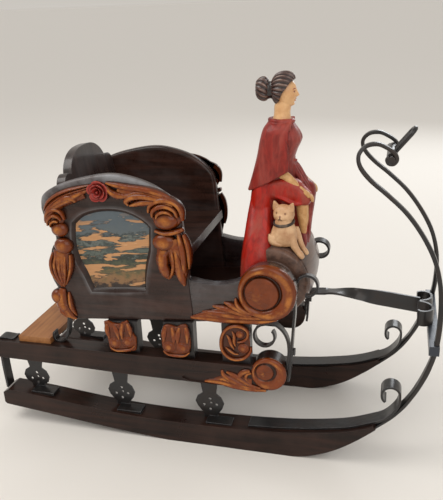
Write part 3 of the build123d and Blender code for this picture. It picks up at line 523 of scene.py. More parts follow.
# Painted scene in each tray: thin oil colour on a bare board, a made-up hillside under a
# grey sky, flaked off to the wood in long patches and scratched across.
def worn_scene(name):
    """Bands of colour by height over the board, their borders bent by noise; long flat clouds of noise show
    the bare wood; fine slanting lines scratch it."""
    made, tree, skin, here = finish(name)
    middle = place(np.array([149.0, 0.0, 205.0]))
    feeds = {0: here, 1: (float(middle[0]), 0.0, float(middle[2]))}
    centred = add(tree, "VectorMath", feeds, operation="SUBTRACT").outputs[0]
    plain = mapped(tree, centred, (28.0, 0.0, 28.0), turn=(0.0, float(NOSE_UP), 0.0))
    height = add(tree, "SeparateXYZ", {0: plain}).outputs["Z"]
    ragged = grain(tree, mapped(tree, plain, (2.2, 1.0, 3.4)), 1.6, 6.0, 0.7)
    border = spread(tree, ragged, 0.25, 0.75, -0.30, 0.30)
    high = add(tree, "Math", {0: height, 1: border}, operation="ADD").outputs[0]
    bands = add(tree, "ValToRGB", {0: spread(tree, high, -1.1, 1.1, 0.0, 1.0)})
    stops = [(0.0, rgb(40, 28, 23)), (0.07, rgb(134, 98, 62)), (0.17, rgb(98, 84, 52)),
             (0.27, rgb(66, 72, 54)), (0.36, rgb(34, 40, 36)), (0.41, rgb(88, 96, 88)),
             (0.50, rgb(56, 66, 62)), (0.56, rgb(100, 106, 100)), (0.63, rgb(44, 52, 52)),
             (0.68, rgb(86, 94, 96)), (0.80, rgb(80, 90, 96)), (1.0, rgb(88, 98, 104))]
    ramp = bands.color_ramp.elements
    ramp[0].position, ramp[0].color = stops[0]
    ramp[1].position, ramp[1].color = stops[-1]
    for spot, colour in stops[1:-1]:
        ramp.new(spot).color = colour
    flake = grain(tree, mapped(tree, plain, (0.55, 1.0, 3.6), (0.3, 0.0, 1.7)), 1.35, 5.0, 0.56, 0.3)
    above = spread(tree, height, 0.62, 0.95, 1.0, 0.0)
    bare = times(tree, spread(tree, flake, 0.515, 0.54, 0.0, 1.0), above)
    board = grain(tree, mapped(tree, plain, (0.6, 1.0, 9.0)), 4.0)
    wood = mix(tree, board, rgb(168, 118, 76), rgb(202, 152, 104))
    tone = mix(tree, bare, bands.outputs[0], wood)
    outside = spread(tree, flake, 0.49, 0.515, 0.0, 0.75)
    rim = times(tree, outside, spread(tree, flake, 0.515, 0.53, 1.0, 0.0))
    tone = mix(tree, times(tree, rim, above), tone, rgb(40, 42, 40))
    slant = mapped(tree, plain, (0.5, 1.0, 6.0), turn=(0.0, 0.9, 0.0))
    nick = spread(tree, grain(tree, slant, 5.5, 2.0, 0.4), 0.70, 0.73, 0.0, 0.8)
    tone = mix(tree, nick, tone, rgb(206, 176, 136))
    tree.links.new(tone, skin.inputs["Base Color"])
    tree.links.new(spread(tree, bare, 0.0, 1.0, 0.45, 0.7), skin.inputs["Roughness"])
    skin.inputs["Coat Weight"].default_value = 0.12
    flaked = add(tree, "Bump", {"Height": bare, "Strength": 0.5, "Distance": -0.0003})
    tree.links.new(flaked.outputs[0], skin.inputs["Normal"])
    return made


picture_rings = [(tray * 0.5, 60.4), (tray + 0.2, 60.4), (tray + 0.2, 61.7), (tray * 0.98, 61.9),
                 (tray * 0.5, 61.9)]
picture = np.array([panel_ring(far, out) for far, out in picture_rings])
oil_colours = worn_scene("painted_hillside")
on_both_sides("hillside_picture", [(picture, None)], oil_colours, "picture_board", sharp=40)


# Panel carving: garland, ridged caps, bosses and tassels of leaf work in red-brown
# varnished limewood, each cut as one leaf with gouged flutes and set flat on the board.
def painted_shade_in_cuts(tree, tone, reach, between, share, shade_colour):
    """Paints shade: up to a share of the shade colour where the skin is shut in within reach metres, most
    at the first occlusion value of between, none from the second."""
    shade = add(tree, "AmbientOcclusion", {"Distance": reach}, samples=6).outputs["AO"]
    return mix(tree, spread(tree, shade, *between, share, 0.0), tone, shade_colour)


def carved(name, hollow, body, pale_crest, shine=0.30, coat=0.5):
    """Varnished carving: body colour in clouds, painted shade in the low parts and the shut-in cuts, and
    crests painted pale, partly wear and partly a painted highlight; thin varnish over all."""
    made, tree, skin, here = finish(name)
    cloud = grain(tree, here, 70.0, 4.0, 0.6)
    fleck = grain(tree, here, 500.0, 4.0, 0.6)
    high = mesh_mark(tree)
    tone = mix(tree, spread(tree, cloud, 0.3, 0.7, 0.0, 0.55), body, hollow)
    # Painted shade: the low parts of the carving darken towards the hollow colour.
    tone = mix(tree, spread(tree, high, 0.22, 0.60, 0.85, 0.0), tone, hollow)
    # Pale crests: partly rubbed wear, partly a painted highlight.
    rub = times(tree, spread(tree, high, 0.86, 1.0, 0.0, 0.6), spread(tree, cloud, 0.40, 0.62, 0.0, 1.0))
    tone = mix(tree, rub, tone, pale_crest)
    # Painted shade in the shut-in cuts.
    tone = painted_shade_in_cuts(tree, tone, 0.0045, (0.25, 0.90), 0.72, hollow)
    bumps = [(cloud, 0.4, 0.0012), (fleck, 0.18, 0.0003)]
    lay_on(tree, skin, tone, cloud, (shine - 0.08, shine + 0.14), bumps, Specular_IOR_Level=0.15,
           Coat_Weight=coat, Coat_Roughness=0.14)
    return made


def leaf(rows, root, flutes=0, cut=0.3, nicks=0, fine=56, wide=25):
    """A carved leaf on a board root millimetres from the middle plane. rows give x, z, half width and
    height along its midrib. Across, the height is the square root of a dome less a cosine flute; its edge
    may be nicked in waves. Gives the shell and its 0 to 1 crest."""
    run = smooth_row(rows, fine)
    way = np.gradient(run[:, :2], axis=0)
    way /= np.linalg.norm(way, axis=1, keepdims=True) + 1e-9
    aside = np.stack([-way[:, 1], way[:, 0]], -1)
    u = np.linspace(0.0, 1.0, fine)[:, None]
    v = np.linspace(-1.0, 1.0, wide)[None, :]
    edge = 1.0 - 0.16 * np.abs(np.sin(np.pi * nicks * u)) ** 3 * np.abs(v) ** 2
    half = np.maximum(run[:, 2:3], 0.15) * edge
    dome = (1.0 - np.abs(v) ** 2.6) ** 0.55
    flute = 0.5 + 0.5 * np.cos(np.pi * flutes * (v + 1.0)) if flutes else np.zeros_like(v)
    flute = flute * (np.abs(v) < 1.0 - 0.5 / max(flutes, 1)) + 0 * u
    tall = np.maximum(run[:, 3:4], 0.1) * dome * (1.0 - cut * flute ** 3)
    tall = tall + 0.16 * np.sin(run[:, 0:1] * 1.9 + v * 2.1) * np.sin(run[:, 1:2] * 1.6 + v * 1.3) * dome
    x, z = run[:, 0:1] + aside[:, 0:1] * half * v, run[:, 1:2] + aside[:, 1:2] * half * v
    top = np.stack([x, root + tall, z], -1)
    under = np.stack([x, np.full_like(x, root - 1.0), z], -1)[:, ::-1]
    height = np.clip((dome ** 1.6) * (1.0 - flute ** 3) + 0 * u, 0.0, 1.0)
    return np.concatenate([top, under], 1), np.concatenate([height, np.zeros_like(height)], 1)


def boss(x, z, half_x, half_z, tall, root, fine=20, round_=44):
    """A round knob: the height falls from the middle as the root of one less the radius squared, raised to
    0.85."""
    r = np.concatenate([[1.0], np.linspace(1.0, 0.04, fine)])[:, None]
    a = way_round(round_)
    dome = np.sqrt(np.maximum(1.0 - r ** 2, 0.0)) ** 0.85
    high = root + tall * dome + 0 * a
    high[0] = root - 1.0
    height = dome ** 0.8 + 0 * a
    return np.stack([x + half_x * r * np.cos(a), high, z + half_z * r * np.sin(a)], -1), height


GARLAND = [
    # rows of x, z, half width and height; then flutes, their depth and nicks where it has any
    ([(127.4, 260.5, 6.6, 2.8), (113.7, 256.2, 6.8, 4.8), (101.2, 251.8, 6.6, 5.3), (91.0, 244.2, 6.1, 5.3),
      (86.6, 233.2, 5.5, 4.8)],),
    ([(135.4, 266.0, 2.1, 3.0), (124.2, 263.8, 3.3, 4.6), (112.9, 261.4, 4.0, 5.4),
      (100.9, 257.0, 4.5, 5.8), (91.2, 250.9, 4.3, 5.6), (84.6, 243.8, 2.1, 3.0)], 2, 0.45),
    ([(133.8, 262.6, 1.6, 2.6), (126.6, 260.2, 2.7, 4.4), (119.7, 257.6, 4.0, 5.6),
      (113.6, 254.4, 4.3, 6.4), (106.4, 252.0, 4.0, 6.2), (97.6, 247.7, 3.4, 5.6), (91.2, 242.4, 1.8, 3.4)],
     1, 0.5),
    ([(118.7, 251.6, 2.1, 4.0), (117.5, 254.7, 3.7, 6.4), (113.0, 256.2, 4.0, 7.0),
      (106.9, 254.7, 3.7, 6.8), (99.7, 251.5, 3.0, 6.2), (92.3, 247.2, 2.4, 5.2),
      (86.9, 241.9, 1.6, 3.4)],),
    ([(83.4, 232.7, 1.4, 3.4), (86.2, 240.1, 2.3, 5.4), (92.4, 244.8, 2.6, 6.2), (99.0, 244.9, 2.6, 6.4),
      (102.5, 241.2, 2.3, 5.8), (103.7, 234.7, 1.4, 4.0)],),
    ([(85.5, 230.1, 1.4, 4.6), (87.8, 235.6, 2.3, 6.6), (93.2, 239.5, 2.4, 7.4), (98.3, 238.9, 2.3, 7.4),
      (101.1, 234.7, 1.7, 5.8)],),
    ([(88.2, 228.8, 1.3, 5.0), (90.6, 232.5, 2.0, 7.2), (94.8, 234.8, 2.1, 7.8), (98.5, 233.9, 1.8, 7.4)],),
    ([(94.1, 204.0, 9.2, 5.0), (92.3, 193.7, 10.3, 5.9), (90.6, 183.3, 8.6, 5.6), (89.4, 174.1, 5.0, 4.5),
      (88.5, 165.4, 1.1, 2.0)],),
    ([(84.4, 201.8, 1.8, 4.0), (80.7, 192.5, 2.6, 5.4), (80.3, 182.0, 2.6, 5.4), (83.6, 173.4, 2.3, 4.6),
      (86.9, 166.0, 1.1, 2.4)],),
    ([(88.0, 199.7, 2.0, 5.0), (85.0, 191.1, 2.7, 6.6), (84.6, 182.0, 2.7, 6.4), (86.4, 173.4, 2.1, 5.2),
      (88.2, 166.7, 1.1, 2.6)],),
    ([(92.7, 198.9, 2.0, 5.2), (90.2, 190.4, 2.7, 7.2), (89.2, 181.3, 2.6, 6.8), (89.1, 173.4, 2.0, 5.4),
      (89.1, 167.4, 1.1, 2.6)],),
    ([(97.7, 198.8, 2.0, 5.2), (96.2, 190.4, 2.7, 7.0), (94.4, 181.9, 2.6, 6.4), (92.2, 174.1, 1.8, 5.0),
      (90.0, 167.4, 0.9, 2.4)],),
    ([(103.0, 199.8, 1.8, 4.8), (102.4, 191.7, 2.6, 6.2), (99.8, 183.2, 2.4, 5.6), (95.8, 175.4, 1.8, 4.4),
      (91.2, 168.1, 0.9, 2.2)],),
    ([(162.4, 261.4, 5.0, 3.1), (175.1, 257.5, 5.9, 4.8), (190.3, 254.6, 6.3, 5.3),
      (202.9, 251.3, 6.6, 5.9), (213.9, 245.1, 6.6, 5.9)],),
    ([(152.0, 268.3, 1.6, 2.6), (162.0, 265.8, 3.0, 4.6), (173.7, 263.2, 3.4, 5.2),
      (185.4, 261.2, 3.4, 5.4), (196.9, 258.2, 3.7, 5.6), (206.9, 254.1, 3.0, 5.0),
      (214.5, 249.7, 1.4, 2.8)], 1, 0.5),
    ([(152.3, 265.7, 1.6, 2.8), (155.5, 260.4, 3.4, 5.4), (162.3, 256.7, 4.1, 6.4),
      (171.2, 255.9, 3.0, 6.2), (180.0, 258.1, 2.6, 5.8), (190.8, 257.8, 1.8, 4.6)], 1, 0.55),
    ([(171.1, 246.8, 1.8, 4.0), (170.1, 251.1, 3.4, 6.4), (175.6, 254.4, 4.0, 7.2),
      (185.6, 254.9, 3.7, 7.2), (194.9, 253.1, 3.7, 7.0), (204.5, 250.5, 3.0, 6.0)],),
    ([(172.3, 246.5, 1.6, 3.8), (179.0, 248.2, 3.3, 6.2), (187.3, 249.3, 3.8, 7.0),
      (196.0, 249.0, 3.4, 6.8)],),
    ([(189.4, 239.5, 1.8, 4.4), (192.4, 246.4, 3.0, 6.4), (200.6, 250.2, 3.5, 7.2),
      (209.2, 250.4, 3.5, 7.3), (217.0, 246.6, 3.5, 6.9), (220.6, 239.7, 3.0, 6.2),
      (220.6, 231.0, 1.8, 4.4)],),
    ([(192.8, 235.3, 1.8, 5.0), (194.4, 241.0, 2.8, 7.0), (201.0, 244.9, 3.3, 7.8),
      (209.0, 244.8, 3.3, 7.8), (215.1, 240.7, 2.8, 7.4), (216.8, 234.0, 1.7, 5.4)],),
    ([(196.7, 233.8, 1.7, 5.8), (199.0, 238.1, 2.4, 7.8), (204.6, 240.3, 2.7, 7.9),
      (209.9, 239.2, 2.4, 7.9), (212.7, 235.6, 1.7, 6.6)],),
    ([(192.7, 221.9, 1.6, 4.0), (201.8, 219.4, 2.7, 6.0), (212.1, 220.3, 3.0, 6.4),
      (220.2, 222.7, 2.1, 4.6)],),
    ([(209.3, 213.4, 9.9, 4.8), (211.3, 202.5, 11.0, 5.6), (211.0, 191.5, 9.9, 5.3),
      (211.9, 180.3, 7.2, 4.5), (213.4, 168.4, 1.5, 2.2)],),
    ([(214.7, 219.0, 1.8, 4.6), (216.4, 211.5, 3.4, 7.0), (217.3, 201.8, 3.7, 7.4),
      (216.8, 190.8, 3.4, 6.8), (215.7, 180.9, 2.4, 5.2)],),
    ([(219.7, 217.9, 1.6, 4.4), (221.9, 209.6, 2.7, 6.2), (222.6, 200.5, 2.8, 6.0),
      (221.8, 190.7, 2.3, 4.8), (220.4, 184.0, 1.1, 2.4)],),
    ([(210.1, 207.3, 2.1, 5.0), (211.2, 196.4, 4.3, 7.0), (211.4, 185.3, 5.4, 7.2),
      (212.5, 175.3, 4.5, 6.2), (213.8, 167.1, 1.6, 2.4)], 1, 0.5),
    ([(198.8, 203.8, 8.0, 4.6), (196.6, 196.5, 7.2, 7.0), (196.4, 187.9, 6.8, 7.2),
      (198.5, 179.7, 5.8, 6.0), (200.6, 174.3, 2.1, 2.8)], 1, 0.4, 3),
    ([(206.4, 205.0, 1.6, 5.2), (207.6, 196.4, 2.6, 7.8), (206.7, 186.5, 2.6, 7.8),
      (203.4, 178.8, 2.1, 6.4), (199.2, 175.5, 1.3, 3.4)],),
    ([(86.5, 164.0, 3.3, 2.8), (84.4, 157.0, 6.1, 5.0), (83.4, 149.3, 7.3, 5.6), (85.6, 141.3, 6.5, 5.3),
      (90.6, 133.6, 3.5, 3.6), (95.0, 130.6, 0.9, 1.7)],),
    ([(92.0, 160.0, 1.4, 1.6), (92.4, 152.0, 2.8, 4.4), (92.8, 143.0, 2.8, 4.4), (95.4, 134.0, 1.1, 1.2)],
     1, 0.5),
    ([(80.4, 147.6, 1.7, 3.0), (82.0, 140.0, 3.4, 5.4), (87.6, 135.0, 3.1, 4.6), (93.6, 131.6, 1.1, 1.4)],
     1, 0.5),
]
KNOBS = [
    # x, z, half width, half height, stand-off
    (96.7, 225.5, 8.9, 7.7, 7.4), (97.2, 208.8, 9.8, 8.6, 7.8),
    (204.7, 231.2, 12.2, 9.0, 7.9), (200.2, 210.6, 11.8, 8.8, 8.0),
    (93.8, 236.1, 9.3, 9.5, 4.2),
    (205.7, 236.0, 14.9, 14.2, 4.4),
    (79.6, 155.4, 7.2, 7.8, 6.6), (84.6, 144.4, 6.6, 6.8, 6.2),
]
limewood = carved("varnished_limewood", rgb(40, 17, 8), rgb(122, 54, 14), rgb(206, 128, 52), 0.20, 0.45)
pieces = [leaf(rows, PANEL_FACE, *cuts) for rows, *cuts in GARLAND]
pieces += [boss(x, z, a, b, h, PANEL_FACE) for x, z, a, b, h in KNOBS]
on_both_sides("garland", pieces, limewood, "panel_carving")


# Rose at the top of each panel: five outer petals, four inner ones and a rolled bud, cut in
# one block and painted a thin rose red.
ROSE_X, ROSE_Z = 143.6, 261.0


def petal(turn, near, far, spread_by, lift, curl, thick=1.1, fine=14, wide=17):
    """A cupped petal: it runs out from near to far at angle turn, spreads to each side by spread_by, and
    rises with the square of the way; its lip curls over by curl."""
    u = np.linspace(0.0, 1.0, fine)[:, None]
    v = np.linspace(-1.0, 1.0, wide)[None, :]
    r = near + (far - near) * u * (1.0 - 0.16 * v ** 2)
    a = turn + spread_by * v * (0.55 + 0.45 * np.sin(u * np.pi * 0.6))
    lip = curl * np.clip(u - 0.75, 0, 1) ** 2 * 16
    rise = lift * (0.35 + 0.65 * u ** 1.4) * (1.0 - 0.35 * v ** 2) - lip
    x, z = ROSE_X + r * np.cos(a), ROSE_Z + r * np.sin(a) * 0.96
    top = np.stack([x, PANEL_FACE + 0.6 + rise + thick * 0.5, z], -1)
    low = np.stack([x, PANEL_FACE + 0.6 + rise - thick, z], -1)[:, ::-1]
    high = np.clip(0.25 + 0.75 * u + 0 * v, 0, 1)
    return np.concatenate([top, low], 1), np.concatenate([high, 0.3 * high], 1)


rose = [boss(ROSE_X, ROSE_Z, 9.4, 9.0, 3.4, PANEL_FACE)]
rose += [petal(np.radians(18 + 72 * k), 2.0, 10.8, 0.66, 4.4, 0.7) for k in range(5)]
rose += [petal(np.radians(50 + 90 * k), 1.2, 7.6, 0.80, 6.2, 0.6) for k in range(4)]
rose += [petal(np.radians(10 + 120 * k), 0.6, 4.6, 1.10, 7.2, 0.5) for k in range(3)]
rose += [boss(ROSE_X + 0.2, ROSE_Z - 0.2, 1.9, 1.9, 7.4, PANEL_FACE)]
rose_red = carved("rose_paint", rgb(70, 20, 16), rgb(158, 46, 38), rgb(206, 104, 86), 0.30, 0.4)
on_both_sides("rose_bloom", rose, rose_red, "rose")


# Front scroll on each side: a thick volute turned up from the low side board, a broad rounded
# band round a sunk button, with a flame-shaped leaf running back along the board's foot.
def scroll(cx, cz, radius, back, face, button, gap, tall, off=(0.0, 0.0), fine=46, round_=140):
    """A volute disc in polar form. Out from the middle: a low domed button set to one side by off, a sunk
    channel that is widest up and to the front, and a rounded band whose crest lies midway; then the rim
    turns back to the board."""
    a = way_round(round_)
    r = np.linspace(0.03, 1.0, fine)[:, None] * radius
    inner = button + gap * (0.18 + 0.82 * (0.5 + 0.5 * np.cos(a - np.radians(30))) ** 1.4)
    over = np.clip((r - inner) / (radius - inner), 0.0, 1.0) * 0.90 + 0.02
    band = tall * (np.sin(np.pi * np.clip(over, 0, 1)) ** 0.5)
    knob = tall * (0.80 - 0.10 * np.cos(a - np.radians(30))) * (1.0 - 0.18 * (r / button) ** 4)
    high = np.maximum(band * (r > inner - 0.2), knob / (1.0 + np.exp((r - button) / 0.22)))
    high = high + 0.14 * np.sin(r * 1.1 + a * 3) * np.sin(a * 5 + 1.0)
    depth = np.clip(high / tall, 0.0, 1.0)
    shift = np.clip((radius - r) / (radius - button), 0, 1)
    shift = shift * shift * (3 - 2 * shift)
    x, z = cx + off[0] * shift + r * np.cos(a), cz + off[1] * shift + r * np.sin(a)
    front = np.stack([x, face + high, z], -1)
    rim = []
    for grow, y in ((0.35, face - 0.4), (0.45, face - 2.0), (0.2, (face + back) / 2), (0.3, back + 1.5),
                    (-1.5, back), (-radius * 0.5, back)):
        far = radius + grow
        rim.append(np.stack([cx + far * np.cos(a), np.full_like(a, y), cz + far * np.sin(a)], -1))
    sides = np.concatenate([np.full((5, round_), 0.62), np.full((1, round_), 0.3)])
    return np.concatenate([front] + rim), np.concatenate([depth, sides])


LOW_BOARD_FACE = 65.3
FRONT_SCROLL = (291.0, 159.3)
FLAME = [
    # rows of x, z, half width and height; then flutes, their depth and nicks where it has any
    ([(217.2, 134.2, 2.1, 1.8), (232.9, 136.8, 5.1, 3.6), (252.5, 138.8, 8.4, 4.7),
      (269.4, 139.1, 9.0, 4.9), (279.7, 137.5, 5.8, 4.4)],),
    ([(215.1, 133.9, 1.7, 1.4), (226.0, 134.3, 3.2, 3.6), (239.0, 133.4, 3.8, 4.6),
      (253.9, 132.5, 4.1, 5.0), (270.9, 132.2, 4.1, 5.2), (285.5, 132.0, 3.5, 4.8),
      (298.0, 134.3, 2.9, 4.2)], 1, 0.4),
    ([(227.6, 140.3, 1.1, 1.4), (236.4, 139.8, 3.2, 4.4), (247.1, 138.7, 3.8, 5.6),
      (259.7, 137.2, 3.8, 6.0), (273.4, 136.1, 3.4, 6.0), (285.7, 135.4, 2.4, 5.0)],),
    ([(238.1, 146.2, 1.1, 1.4), (246.7, 144.8, 3.2, 4.8), (256.1, 142.9, 3.6, 6.0),
      (266.3, 139.8, 3.4, 6.4), (275.6, 137.7, 2.4, 5.6)],),
    ([(249.6, 150.0, 1.1, 1.6), (255.6, 148.0, 2.9, 5.0), (261.6, 145.2, 3.4, 6.4),
      (268.6, 141.6, 3.1, 6.6), (277.8, 139.0, 1.8, 5.2)],),
    ([(261.2, 154.3, 1.3, 2.0), (262.3, 149.4, 2.7, 5.6), (266.8, 144.5, 2.8, 6.6),
      (274.8, 140.4, 2.2, 6.6), (285.0, 139.2, 1.7, 6.0), (295.5, 141.4, 1.5, 5.8),
      (303.2, 147.9, 1.5, 5.4), (306.8, 154.0, 0.8, 4.0)],),
]
pieces = [leaf(rows, LOW_BOARD_FACE - 0.4, *cuts) for rows, *cuts in FLAME]
pieces.append(scroll(*FRONT_SCROLL, 26.6, 55.3, LOW_BOARD_FACE + 1.0, 15.8, 2.3, 4.8, (-4.6, 0.4)))
on_both_sides("front_volute", pieces, limewood, "scroll_carving")


# Rail scroll: the same volute in small, let into the rail's rolled front, with a lobed
# leaf that runs back along the rail.
RAIL_FACE = 71.5
RAIL_LEAF = [
    # rows of x, z, half width and height
    [(233.0, 74.4, 2.5, 1.0), (247.6, 78.1, 5.7, 1.5), (260.7, 77.2, 7.6, 1.7), (273.7, 76.4, 6.7, 1.7)],
    [(227.0, 73.8, 1.4, 0.8), (234.2, 75.2, 2.9, 2.0), (244.2, 74.9, 3.4, 2.3), (257.3, 72.3, 3.4, 2.3),
     (273.6, 70.7, 2.8, 2.1), (287.6, 71.2, 1.8, 1.7)],
    [(244.7, 88.8, 1.3, 1.0), (246.7, 83.1, 2.9, 2.3), (254.2, 78.3, 3.4, 2.6), (265.0, 73.8, 2.7, 2.5),
     (277.9, 72.0, 1.8, 2.1)],
    [(249.2, 87.1, 1.4, 1.4), (256.6, 84.1, 2.9, 2.5), (264.0, 79.8, 2.7, 2.7), (272.6, 75.2, 2.0, 2.5),
     (282.2, 73.1, 1.3, 2.0)],
    [(262.7, 79.7, 1.3, 1.4), (262.2, 84.5, 2.7, 2.5), (266.5, 88.9, 3.2, 2.7), (272.4, 90.8, 2.1, 2.3)],
    [(270.1, 78.9, 1.3, 1.6), (268.2, 83.0, 2.1, 2.7), (269.6, 87.1, 2.1, 2.8), (273.8, 88.8, 1.4, 2.2)],
]
pieces = [leaf(rows, RAIL_FACE) for rows in RAIL_LEAF]
pieces.append(scroll(290.0, 88.8, 16.6, 70.0, RAIL_FACE - 0.1, 8.4, 2.2, 2.4, (-3.6, 1.8)))
on_both_sides("rail_volute", pieces, limewood, "rail_carving", "level")


# Post carvings: on each of the two rear posts a split leaf over a pair of small knobs, on
# the front post a round medallion with a band curled in at both ends. Cut in limewood.
def plate(middle, rim, steps):
    """A flat plate: its rim, given from the middle, is drawn once a step at a share of its size, at a
    distance from the middle plane, and with a mark."""
    rings = [np.stack([middle[0] + rim[:, 0] * g, np.full(len(rim), y), middle[1] + rim[:, 1] * g], -1)
             for g, y, mark in steps]
    marks = np.array([mark for g, y, mark in steps])
    return np.array(rings), np.repeat(marks[:, None], len(rim), 1)


def leaf_bracket(rim, tops, left, right):
    """Shells of one leaf bracket: a plate with the given rim, four ribs that fall from the tops to a pair
    of stepped round knobs with middles left and right, and a lip below."""
    rim = smooth_row(np.array(list(rim) + [rim[0]], float), 120)[:-1]
    heart = rim.mean(0)
    steps = [(0.5, 67.5, 0.3), (0.97, 67.5, 0.3), (1.0, 68.3, 0.5), (1.0, 70.2, 0.8), (0.97, 71.0, 0.8),
             (0.91, 71.2, 0.55), (0.5, 71.2, 0.45)]
    made = [plate(heart, rim - heart, steps)]
    left, right = np.array(left), np.array(right)
    along = (right - left) / np.linalg.norm(right - left)
    aside = np.array([-along[1], along[0]])

    def off(ball, forward, up):
        """A point so far from a knob's middle, forward along the pair of knobs and up square to it."""
        return ball + forward * along + up * aside

    ends = (off(left, -4.6, 5.4), off(left, 5.2, 3.4), off(right, -5.2, 3.4), off(right, 4.6, 5.4))
    for top, end, bow in zip(tops, ends, (-0.8, 0.9, -0.9, 0.8)):
        middle = (np.array(top) + end) / 2 + [bow, 0.0]
        made.append(leaf([(*top, 2.2, 0.9), (*middle, 3.0, 2.2), (*end, 1.0, 0.9)], 70.8, fine=30))
    for ball in (left, right):
        made.append(boss(*ball, 6.9, 6.7, 1.8, 70.6))
        made.append(boss(*ball, 5.3, 5.1, 2.7, 70.8))
    edge = [(left, -6.0, -4.6, 1.0, 1.2), (left, -1.0, -8.0, 1.6, 2.4),
            ((left + right) / 2, 0.0, -8.8, 1.8, 2.6), (right, 1.0, -8.0, 1.6, 2.4),
            (right, 6.0, -4.6, 1.0, 1.2)]
    lip = [(*off(ball, forward, up), half, tall) for ball, forward, up, half, tall in edge]
    made.append(leaf(lip, 70.6, fine=40))
    return made


rear_rim = [(126.2, 128.4), (130.3, 129.4), (135.3, 127.5), (141.0, 127.1), (146.5, 129.7), (150.8, 131.2),
            (153.5, 125.1), (156.0, 118.0), (158.5, 112.8), (158.3, 105.4), (157.2, 99.9), (153.1, 98.1),
            (144.1, 96.2), (135.1, 95.8), (130.0, 97.7), (129.2, 104.2), (128.2, 111.6), (126.7, 119.8)]
rear_tops = [(129.4, 126.4), (136.6, 125.6), (146.0, 128.0), (151.0, 129.0)]
pieces = leaf_bracket(rear_rim, rear_tops, (136.2, 106.4), (150.1, 108.7))
front_rim = [(187.8, 129.3), (190.7, 130.9), (195.3, 130.9), (201.0, 129.6), (206.2, 132.3), (211.0, 132.3),
             (213.3, 126.4), (214.5, 118.5), (214.2, 110.3), (212.8, 103.8), (209.2, 99.6), (201.4, 97.3),
             (194.6, 97.3), (188.4, 100.3), (185.6, 105.5), (185.1, 113.7), (186.2, 121.9)]
front_tops = [(190.2, 129.0), (196.8, 129.0), (204.2, 129.4), (210.6, 130.2)]
pieces += leaf_bracket(front_rim, front_tops, (192.4, 107.6), (206.8, 107.9))
on_both_sides("leaf_brackets", pieces, limewood, "post_carving", "level")

around = way_round(90)[0]
steps = [(0.4, 67.5, 0.3), (0.97, 67.5, 0.3), (1.0, 68.5, 0.5), (1.0, 69.9, 0.6), (0.95, 70.5, 0.35),
         (0.4, 69.5, 0.25)]
MEDALLION = (258.2, 117.6)
pieces = [plate(MEDALLION, np.stack([14.3 * np.cos(around), 18.2 * np.sin(around)], -1), steps)]
curled_band = [(260.7, 119.7, 1.0, 2.0), (265.2, 120.6, 1.5, 2.6), (269.9, 124.8, 1.7, 2.8),
               (270.7, 130.8, 1.7, 2.8), (266.4, 135.1, 1.8, 2.8), (259.1, 136.0, 1.9, 2.8),
               (251.5, 132.8, 1.9, 2.8), (246.4, 125.5, 1.9, 2.8), (244.7, 117.1, 1.9, 2.8),
               (245.8, 109.5, 1.9, 2.8), (251.0, 102.9, 1.9, 2.8), (259.0, 100.7, 1.9, 2.8),
               (267.1, 103.4, 1.8, 2.8), (272.6, 110.0, 1.5, 2.6), (273.5, 115.4, 1.0, 2.2)]
pieces.append(leaf(curled_band, 69.7, fine=130, wide=19))
SMALL_LEAVES = [
    # rows of x, z, half width and height
    [(250.4, 126.1, 0.8, 1.4), (252.8, 122.6, 1.9, 2.4), (254.4, 116.9, 2.1, 2.4),
     (257.2, 111.3, 1.0, 1.4)],
    [(255.7, 130.5, 0.8, 1.4), (257.7, 126.0, 1.9, 2.6), (257.5, 119.6, 1.9, 2.6),
     (258.6, 115.0, 0.8, 1.6)],
    [(248.9, 112.8, 0.8, 1.2), (252.6, 110.2, 1.7, 2.2), (257.1, 107.1, 1.5, 2.2),
     (261.3, 106.4, 0.8, 1.4)],
]
pieces += [leaf(rows, 69.6, fine=36, wide=17) for rows in SMALL_LEAVES]
pieces += [boss(263.2, 127.5, 4.4, 4.2, 2.6, 69.5), boss(266.2, 113.2, 5.8, 5.6, 1.9, 69.7),
           boss(266.2, 113.2, 4.4, 4.2, 2.9, 69.7)]
on_both_sides("round_medallion", pieces, limewood, "medallion", "level")


# Front roll between the two scrolls: a drum turned from a weathered grey-brown log, a little
# fuller in the middle, with a rounded collar against each scroll. Its thin necks run into the
# scrolls; behind and below it is planed flat against the body's boards.
NECK_RADIUS = 22.5
FLAT_BACK, FLAT_FOOT = 276.2, 129.6
drum_rows = np.array([(-55.3, 21.4), (-44.1, 21.6), (-43.3, 26.0), (-42.3, 31.6), (-40.7, 33.4),
                      (-38.3, 34.2), (-36.7, 33.6), (-35.5, 34.8), (-24.0, 36.4), (-8.0, 37.6), (8.0, 37.6),
                      (24.0, 36.4), (35.5, 34.8), (36.7, 33.6), (38.3, 34.2), (40.7, 33.4), (42.3, 31.6),
                      (43.3, 26.0), (44.1, 21.6), (55.3, 21.4)])
drum = smooth_row(drum_rows, 150)
a = way_round(120)
r = drum[:, 1:2] * (1.0 + 0.004 * np.sin(5 * a + drum[:, 0:1] * 0.05) + 0.003 * np.sin(11 * a + 1.0))
x, z = FRONT_SCROLL[0] + r * np.cos(a), FRONT_SCROLL[1] + r * np.sin(a)
x = np.where(r < NECK_RADIUS, x, np.maximum(x, FLAT_BACK))
drum_shell = np.stack([x, drum[:, 0:1] + 0 * a, np.maximum(z, FLAT_FOOT)], -1)
log_timber = timber("weathered_log", rgb(56, 40, 34), rgb(104, 76, 62), rgb(128, 102, 90), (1.0, 0.10, 1.0),
                    0.5, 0.4, 0.32, 0.4)
skin_over("front_drum", [drum_shell], log_timber, ["front_roll"])


